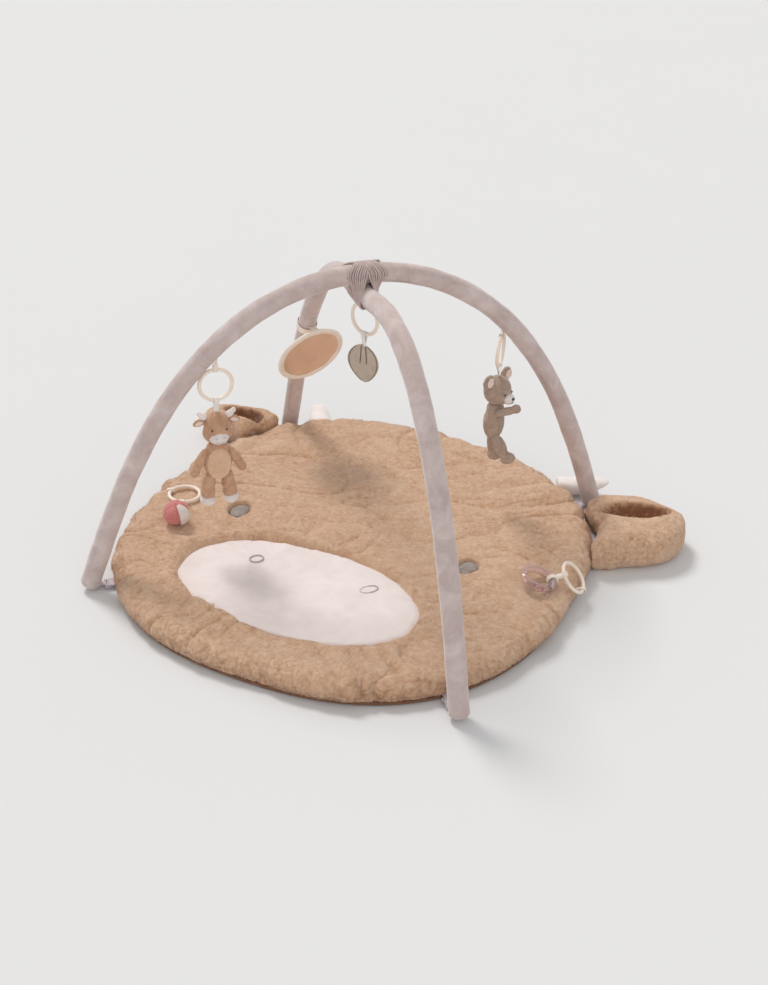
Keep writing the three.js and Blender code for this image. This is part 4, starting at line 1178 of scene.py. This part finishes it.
def build_bear():
    placing = hang_ring_and_strap("bear", BEAR_FACING, 16)
    top = -TOY_DROP
    mid = top - 56
    pivot = Vector((0, 0, (top - 28) * MM))
    turned = placing @ Matrix.Translation(pivot) @ Matrix.Rotation(BEAR_LOOK, 4,
            "Z") @ Matrix.Translation(-pivot)
    head = stuffed("bear_head",
                   [((26, 24, 27), (0, 0, top - 28), (0, 0, 0)),
                    ((20, 20, 18), (0, -8, top - 34), (0, 0, 0))],
                   turned, BEAR, "bear", ("bear_head",), seed=31)
    muzzle = stuffed("bear_muzzle", [((11, 10, 10), (0, -26, top - 37), (0, 0, 0))], turned, HOOF, "bear",
                     voxel=1.6, seed=33)
    small_blob("bear_nose", (3.8, 2.2, 2.8), (0, -35.6, top - 34), (0, 0, 0), turned, BLACK, "bear")
    for sign, side in ((-1, "left"), (1, "right")):
        ear = stuffed(f"bear_ear_{side}", [((14, 6, 14), (sign * 25, 2, top - 6), (0, sign * 0.2, 0))],
                      turned, BEAR,
                      "bear", voxel=1.6, seed=35)
        stuffed(f"bear_ear_lining_{side}",
                [((9.5, 2.4, 9.5), (sign * 26, -3.4, top - 5.5), (0, sign * 0.2, 0))], turned,
                LINING, "bear", voxel=1.1, puff=0)
        small_blob(f"bear_eye_{side}", (1.8, 1.3, 2.0), (sign * 10, -24.5, top - 27), (0, 0, 0), turned,
                   BLACK, "bear")
    smile = [(x, -34.9 + 0.06 * x * x, top - 42 + 0.05 * x * x) for x in np.linspace(-5, 5, 9)]
    cord_piece("bear_smile", smile, turned, 0.4, THREAD, "bear", "bear_velour")
    body = stuffed("bear_body",
                   [((22, 19, 34), (0, 2, mid - 36), (0, 0, 0)), ((18, 16, 16), (0, 1, mid - 10), (0, 0, 0))],
                   placing, BEAR, "bear", ("bear_body",), seed=37)
    limbs = (
        ("arm_left",
         [((8, 25, 8), (-19, -22, mid - 2), (-0.42, 0, 0)), ((8.5, 9, 8.5), (-19, -39, mid + 6), (0, 0, 0))]),
        ("arm_right",
         [((8, 8.5, 26), (23, -2, mid - 34), (0, -0.2, 0)), ((8.5, 9, 9), (26, -3, mid - 52), (0, 0, 0))]),
        ("leg_left",
         [((11.5, 12, 26), (-13, -14, mid - 76), (-0.5, 0, 0)),
          ((12, 14, 11), (-13, -31, mid - 98), (-0.5, 0, 0))]),
        ("leg_right",
         [((11.5, 12, 30), (13, 2, mid - 84), (-0.08, 0, 0)),
          ((12, 13.5, 11), (13, -1, mid - 108), (0, 0, 0))]),
    )
    for index, (limb, parts) in enumerate(limbs):
        soft = stuffed(f"bear_{limb}", parts, placing, BEAR, "bear", seed=40 + index,
                       wrinkle=0.9)


def leaf_half_width(share):
    """Half width of the leaf at a share of the way from its strap to its tip."""
    return 28 * np.sin(math.pi * np.clip(share, 0, 1) ** 0.92) ** 0.62


def build_leaf():
    placing = hang_ring_and_strap("leaf", LEAF_FACING, 14) @ Matrix.Rotation(LEAF_TWIST, 4, "Z")
    top = -TOY_DROP + 1
    length = 71
    rows, columns = 90, 61
    share = np.linspace(0, 1, rows)
    across = np.linspace(-1, 1, columns)
    t, a = np.meshgrid(share, across, indexing="ij")
    t, a = t.ravel(), a.ravel()
    lean = 6 * t ** 2
    x = a * leaf_half_width(t) - 3 + lean
    z = top - length * t
    puff = 2.6 * (1 - a ** 4) * np.sin(math.pi * np.clip(t, 0.02, 0.98)) ** 0.3
    bend = 2.5 * np.sin(2.2 * t)
    veins = np.zeros_like(x)
    for start, spread in ((-4, -6), (3, 5)):
        line = start + spread * t * 0.9
        veins += np.exp(-(((x - line) / 0.9) ** 2)) * (t < 0.52) * 1.4
    rim = np.exp(-(((np.abs(a) - 0.9) / 0.03) ** 2)) * 0.7
    grain = 0.3 * noise(np.stack([x, z, x * 0], 1), 5, 3) + 0.5 * noise(np.stack([x, z, x * 0], 1), 17, 4)
    front = np.stack([x, bend - np.maximum(puff - veins - rim + grain * (1 - a ** 4), 0.15), z], 1)
    back = np.stack([x, bend + np.maximum(puff - rim, 0.15), z], 1)
    vertices, faces = two_sided(front, back, rows, columns)
    leaf = solid_piece("leaf_teether", transformed(vertices * MM, placing), faces, LEAF, "leaf", "leaf_cloth",
                       ("leaf_teether",))
    for number, (start, spread) in enumerate(((-4, -6), (3, 5))):
        stitches = []
        for step in np.linspace(0.05, 0.5, 26):
            stitches.append((start + spread * step * 0.9, 2.5 * math.sin(2.2 * step) - 1.7,
                             top - length * step))
        cord_piece(f"leaf_stitch_{number}", stitches, placing, 0.55, THREAD, "leaf", "leaf_cloth")
    for number, sign in enumerate((-1, 1)):
        edge = []
        for step in np.linspace(0.06, 0.97, 60):
            edge.append((sign * 0.9 * float(leaf_half_width(step)) - 3 + 6 * step ** 2,
                         2.5 * math.sin(2.2 * step) - 1.15, top - length * step))
        cord_piece(f"leaf_edge_stitch_{number}", edge, placing, 0.35, THREAD, "leaf", "leaf_cloth")


def build_mirror():
    """A padded cream frame round a film mirror, on a band that wraps the arch."""
    node_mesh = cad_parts["mirror_foil"].data
    points = coordinates(node_mesh)
    centre = points.mean(axis=0)
    _, _, axes = np.linalg.svd(points - centre, full_matrices=False)
    normal = axes[2] if axes[2][2] < 0 else -axes[2]
    right = np.cross(normal, UP)
    right /= np.linalg.norm(right)
    up = np.cross(right, normal)
    placing = Matrix(((right[0], -normal[0], up[0], centre[0]), (right[1], -normal[1], up[1], centre[1]),
                      (right[2], -normal[2], up[2], centre[2]), (0, 0, 0, 1)))
    if placing.to_3x3().determinant() < 0:
        placing = placing @ Matrix.Diagonal((-1, 1, 1, 1))
    outer = 68.0
    film = outer - 10.6
    turns = 144
    angle = np.linspace(0, 2 * math.pi, turns, endpoint=False)
    profile = [(film - 1.5, -0.4), (film + 0.6, -1.2), (film + 3, -3.0), (film + 6, -3.6), (film + 9, -2.4),
               (outer - 0.2, 0.4), (outer - 0.6, 3.0), (outer - 3, 5.2), (outer - 12, 6.4),
               (outer - 30, 6.8), (0.01, 6.8)]
    vertices = []
    for radius, depth in profile:
        pucker = 0.5 * np.sin(angle * 46) * (radius > film) * (depth < 2) + 0.5 * np.sin(angle * 7
                + 1) * (radius > film)
        vertices.append(np.stack([(radius + pucker * 0.4) * np.cos(angle),
                                  depth + pucker * 0.5 * np.ones(turns),
                                  (radius + pucker * 0.4) * np.sin(angle)], 1))
    frame_vertices = transformed(np.vstack(vertices) * MM, placing)
    cushion = mesh_object("mirror_cushion", frame_vertices,
                          grid_faces(len(profile), turns, wrap_columns=True),
                          CREAM_CLOTH, "mirror", "cream_fabric", ("mirror_cushion",))
    refined(cushion)
    tidy_normals(cushion)
    rings = 40
    radius, turn = np.meshgrid(np.linspace(0.002, film + 0.4, rings), angle, indexing="ij")
    x, z = (radius * np.cos(turn)).ravel(), (radius * np.sin(turn)).ravel()
    ripple = 0.35 * noise(np.stack([x, z, x * 0], 1), 24, 5)
    film_vertices = np.stack([x, -0.5 + ripple, z], 1)
    film_piece = mesh_object("mirror_foil", transformed(film_vertices * MM, placing),
                             grid_faces(rings, turns, wrap_columns=True), FOIL, "mirror", "mirror_foil",
                             ("mirror_foil",))
    thickened(film_piece, FILM_THICKNESS)
    tidy_normals(film_piece)
    shape = coordinates(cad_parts["mirror_strap"].data)
    hub = shape.mean(axis=0)
    _, _, ways = np.linalg.svd(shape - hub, full_matrices=False)
    leg_way = ways[2]
    first, second = ways[0], ways[1]
    path = [hub + (first * math.cos(a) + second * math.sin(a)) * 18.6 * MM
            for a in np.linspace(0, 2 * math.pi, 73)[:-1]]
    path = np.array(path)
    across = np.linspace(-1, 1, 9)
    shell = [(a, 0.65) for a in across] + [(a, -0.5) for a in across[::-1]]
    out = (path - hub) / np.linalg.norm(path - hub, axis=1)[:, None]
    wave = 0.5 * np.sin(np.linspace(0, 2 * math.pi, 72, endpoint=False) * 5)
    rows = np.array([[p + leg_way * a * 7.5 * MM + o * (b + w * 0.3) * MM for a, b in shell]
                     for p, o, w in zip(path, out, wave)])
    solid_piece("mirror_strap", rows.reshape(-1, 3), grid_faces(72, len(shell), True, True), CREAM_CLOTH,
                "mirror_band", "cream_fabric", ("mirror_strap",))
    top_edge = np.array(placing @ Vector((0, 4 * MM, (outer - 6) * MM)))
    toward = hub + (top_edge - hub) / np.linalg.norm(top_edge - hub) * 19 * MM
    tab_path = [toward + (top_edge - toward) * s for s in np.linspace(-0.05, 1, 9)]
    solid_piece("mirror_tab", *band(tab_path, right, 13 * MM, 1.4 * MM), CREAM_CLOTH, "mirror",
                "cream_fabric")


def build_ball():
    ring_centre = Matrix.Translation(Vector(middle("ball_ring"))) @ Matrix.Rotation(math.pi / 2, 4, "X")
    build_ring("ball_ring", ring_centre)
    centre = middle("plush_ball")
    hub = middle("ball_ring")
    way = centre[:2] - hub[:2]
    way /= np.linalg.norm(way)
    bar = np.array([hub[0] + way[0] * RING_RADIUS * MM, hub[1] + way[1] * RING_RADIUS * MM, hub[2]])
    turn = math.atan2(way[1], way[0])
    tape_frame = Matrix.Translation(Vector(bar)) @ Matrix.Rotation(turn, 4, "Z") @ OUT_OF_RING
    solid_piece("ball_strap", *folded_tape(tape_frame, 38, RING_BAR, 8.5), TAPE, "ball", "white_tape",
                ("ball_strap",))
    rows, columns = 72, 168
    theta, phi = np.meshgrid(np.linspace(0.02, math.pi - 0.02, rows),
                             np.linspace(0, 2 * math.pi, columns, endpoint=False),
                             indexing="ij")
    seam = np.abs(np.sin(phi * BALL_GORES / 2)) ** 0.35
    ribs = np.cos(theta * 26) * 0.45
    swell = BALL_RADIUS * (0.93 + 0.07 * seam) + ribs
    local = np.stack([swell * np.sin(theta) * np.cos(phi), swell * np.sin(theta) * np.sin(phi),
                      swell * 0.92 * np.cos(theta)], -1).reshape(-1, 3)
    gore_way = Vector((0.975, -0.17, -0.155)).normalized()
    pole = Vector((0.106, -0.33, 1.37))
    pole = (pole - gore_way * pole.dot(gore_way)).normalized()
    third = pole.cross(gore_way)
    tilt = Matrix.Translation(Vector(centre)) @ Matrix((gore_way, third,
            pole)).transposed().to_4x4() @ Matrix.Rotation(
        -math.pi / BALL_GORES, 4, "Z")
    vertices = transformed(local * MM, tilt)
    ball = mesh_object("plush_ball", vertices, grid_faces(rows, columns, wrap_columns=True), ROSE, "ball",
                       "rose_rib",
                       ("plush_ball",))
    close_ends(ball)
    vertices = coordinates(ball.data)
    vertices[:, 2] = np.maximum(vertices[:, 2], MUZZLE_TOP * MM + 0.15 * (vertices[:, 2] - MUZZLE_TOP * MM))
    place(ball.data, vertices)
    tidy_normals(ball)
    gore_rows, gore_columns = 40, 18
    theta, phi = np.meshgrid(np.linspace(0.25, math.pi - 0.25, gore_rows),
                             np.linspace(0.12, 2 * math.pi / BALL_GORES - 0.12, gore_columns),
                             indexing="ij")
    local = np.stack([np.sin(theta) * np.cos(phi), np.sin(theta) * np.sin(phi), 0.92 * np.cos(theta)], -1)
    local = GORE_RADIUS * local.reshape(-1, 3)
    gore = mesh_object("ball_white_gore", transformed(local * MM, tilt),
                       grid_faces(gore_rows, gore_columns), HOOF,
                       "ball", "rose_rib")
    thickened(gore, GORE_THICKNESS)
    tidy_normals(gore)
    loop_bar = hub + np.array([-RING_RADIUS * MM, 0, 0])
    loop_frame = Matrix.Translation(Vector(loop_bar)) @ Matrix(((0, 0, -1, 0), (1, 0, 0, 0), (0, -1, 0, 0),
            (0, 0, 0, 1)))
    solid_piece("mat_loop_left", *folded_tape(loop_frame, 9, RING_BAR, 8), CREAM_CLOTH, "mat", "camel_plush",
                ("mat_loop_left",))


def close_ends(piece):
    shape = bmesh.new()
    shape.from_mesh(piece.data)
    bmesh.ops.holes_fill(shape, edges=[edge for edge in shape.edges if edge.is_boundary], sides=0)
    shape.to_mesh(piece.data)
    shape.free()
    piece.data.shade_smooth()


def cad_ring_placing(node_name):
    """The frame of a CAD ring that leans: its hole along local Y."""
    points = coordinates(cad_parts[node_name].data)
    centre = (points.max(axis=0) + points.min(axis=0)) / 2
    _, _, ways = np.linalg.svd(points - points.mean(axis=0), full_matrices=False)
    hole = ways[2] if ways[2][2] > 0 else -ways[2]
    first = np.cross(hole, UP)
    first /= np.linalg.norm(first)
    second = np.cross(first, hole)
    rows = [[first[k], hole[k], second[k], centre[k]] for k in range(3)] + [[0, 0, 0, 1]]
    placing = Matrix(rows)
    if placing.to_3x3().determinant() < 0:
        placing = placing @ Matrix.Diagonal((-1, 1, 1, 1))
    return placing


def build_rattle():
    link = cad_ring_placing("rattle_ring")
    build_ring("rattle_ring", link)
    shell = cad_ring_placing("bead_rattle")
    shell_radius, shell_bar = 26, 7
    outer = ring_vertices(shell, shell_radius, shell_bar, 120, 28)
    inner_vertices, inner_faces = ring_vertices(shell, shell_radius, shell_bar - 1.2, 120, 24)
    inner = (inner_vertices, [face[::-1] for face in inner_faces])
    clear = mesh_object("bead_rattle", *joined([outer, inner]), CLEAR, "rattle", "clear_plastic",
                        ("bead_rattle",))
    axis = np.array(shell.to_3x3() @ Vector((0, 1, 0)))
    hub = np.array(shell.translation)
    for body, material, spread in (("bead_pink", BEAD_PINK, (0, -16, -32)),
                                   ("bead_cream", BEAD_CREAM, (0, 16, 32))):
        centre = middle(body)
        beads = []
        for number, turn in enumerate(spread):
            arm = Matrix.Rotation(math.radians(turn), 3, Vector(axis)) @ Vector(centre - hub)
            shape = blob_mesh([((3.0, 3.0, 3.0), (0, 0, 0), (0, 0, 0))], 3)
            points = coordinates(shape) + np.array(arm) + hub + axis * (0.9 * MM * (number - 1))
            beads.append((points, [list(polygon.vertices) for polygon in shape.polygons]))
        mesh_object(body, *joined(beads), material, body, body, (body,))
    on_shell = nearest_on_ring(shell, shell_radius, np.array(link.translation))
    on_ring = nearest_on_ring(link, RING_RADIUS, on_shell)
    on_shell = nearest_on_ring(shell, shell_radius, on_ring)
    wraps = []
    for point, placing, ring_radius, bar in ((on_shell, shell, shell_radius, shell_bar),
            (on_ring, link, RING_RADIUS, RING_BAR)):
        centre = np.array(placing.translation)
        out = (point - centre) / np.linalg.norm(point - centre)
        hole = np.array(placing.to_3x3() @ Vector((0, 1, 0)))
        along = np.cross(out, hole)
        for number in range(3):
            shift = along * (number - 1) * 2.6 * MM
            angle = np.linspace(0, 2 * math.pi, 40, endpoint=False)
            loop = [point + shift
                    + (out * math.cos(a) + hole * math.sin(a)) * (bar + 1.5 + 0.3 * (number == 1)) * MM
                    for a in angle]
            wraps.append(sweep(loop, 1.7 * MM, 10, closed=True))
    join = np.linspace(0, 1, 14)[:, None]
    link_path = on_shell + (on_ring - on_shell) * join + UP * (np.sin(join * math.pi) * 1.5 * MM)
    wraps.append(sweep(link_path, 4.6 * MM, 14))
    solid_piece("rattle_knot", *joined(wraps), CREAM_CLOTH, "rattle", "cream_fabric", ("rattle_knot",))
    loop_middle = middle("mat_loop_right")
    toward = nearest_on_ring(link, RING_RADIUS, loop_middle)
    turn = math.atan2(toward[1] - link.translation.y, toward[0] - link.translation.x)
    loop_frame = Matrix.Translation(Vector(toward)) @ Matrix.Rotation(turn, 4, "Z") @ OUT_OF_RING
    solid_piece("mat_loop_right", *folded_tape(loop_frame, -12, RING_BAR, 8), CREAM_CLOTH, "mat",
                "camel_plush",
                ("mat_loop_right",))


def nearest_on_ring(placing, radius, point):
    angle = np.linspace(0, 2 * math.pi, 360, endpoint=False)
    local = np.stack([radius * np.cos(angle), np.zeros_like(angle), radius * np.sin(angle)], 1) * MM
    points = transformed(local, placing)
    return points[np.argmin(np.linalg.norm(points - point, axis=1))]


# ---------------------------------------------------------------- stage
def build_stage():
    floor_size = 12.0
    bpy.ops.mesh.primitive_plane_add(size=floor_size)
    floor = bpy.context.object
    floor.name = "floor"
    made, tree, surface, where = new_material("floor_paint", roughness=0.9)
    shade = noise_node(tree, where, 2.0, 2.0)
    tree.links.new(colour_ramp(tree, shade, [(0.0, (0.725, 0.735, 0.745)), (1.0, (0.735, 0.745, 0.755))]),
                   surface.inputs["Base Color"])
    floor.data.materials.append(made)
    world = bpy.data.worlds.new("studio")
    bpy.context.scene.world = world
    world.use_nodes = True
    world.node_tree.nodes["Background"].inputs["Color"].default_value = (1.0, 0.985, 0.975, 1)
    world.node_tree.nodes["Background"].inputs["Strength"].default_value = 0.6
    for name, shining, strength, spread in (("key", (0.54, -0.36, -0.76), 1.75, 0.3),
                                            ("fill", (-0.45, 0.75, -0.45), 0.45, 1.0)):
        light = bpy.data.lights.new(name, "SUN")
        light.energy = strength
        light.angle = spread
        light.color = (1.0, 0.97, 0.94)
        lamp = bpy.data.objects.new(name, light)
        lamp.rotation_euler = Vector(shining).to_track_quat("-Z", "Y").to_euler()
        bpy.context.scene.collection.objects.link(lamp)
    bpy.context.scene.view_settings.view_transform = "Standard"
    lens = bpy.data.cameras.new("camera")
    lens.lens = 54.96
    lens.sensor_width = 36
    lens.clip_end = 50
    camera = bpy.data.objects.new("camera", lens)
    right = Vector((0.90041, 0.43370, 0.03412))
    up = Vector((-0.25010, 0.45186, 0.85631))
    back = right.cross(up)
    turn = Matrix((right, up, back)).transposed().to_4x4()
    camera.matrix_world = Matrix.Translation((0.9695, -2.0181, 1.4755)) @ turn
    bpy.context.scene.collection.objects.link(camera)
    bpy.context.scene.camera = camera


# ---------------------------------------------------------------- assembly
build_stage()
build_mat()
build_arches()
build_calf()
build_bear()
build_leaf()
build_mirror()
build_ball()
build_rattle()
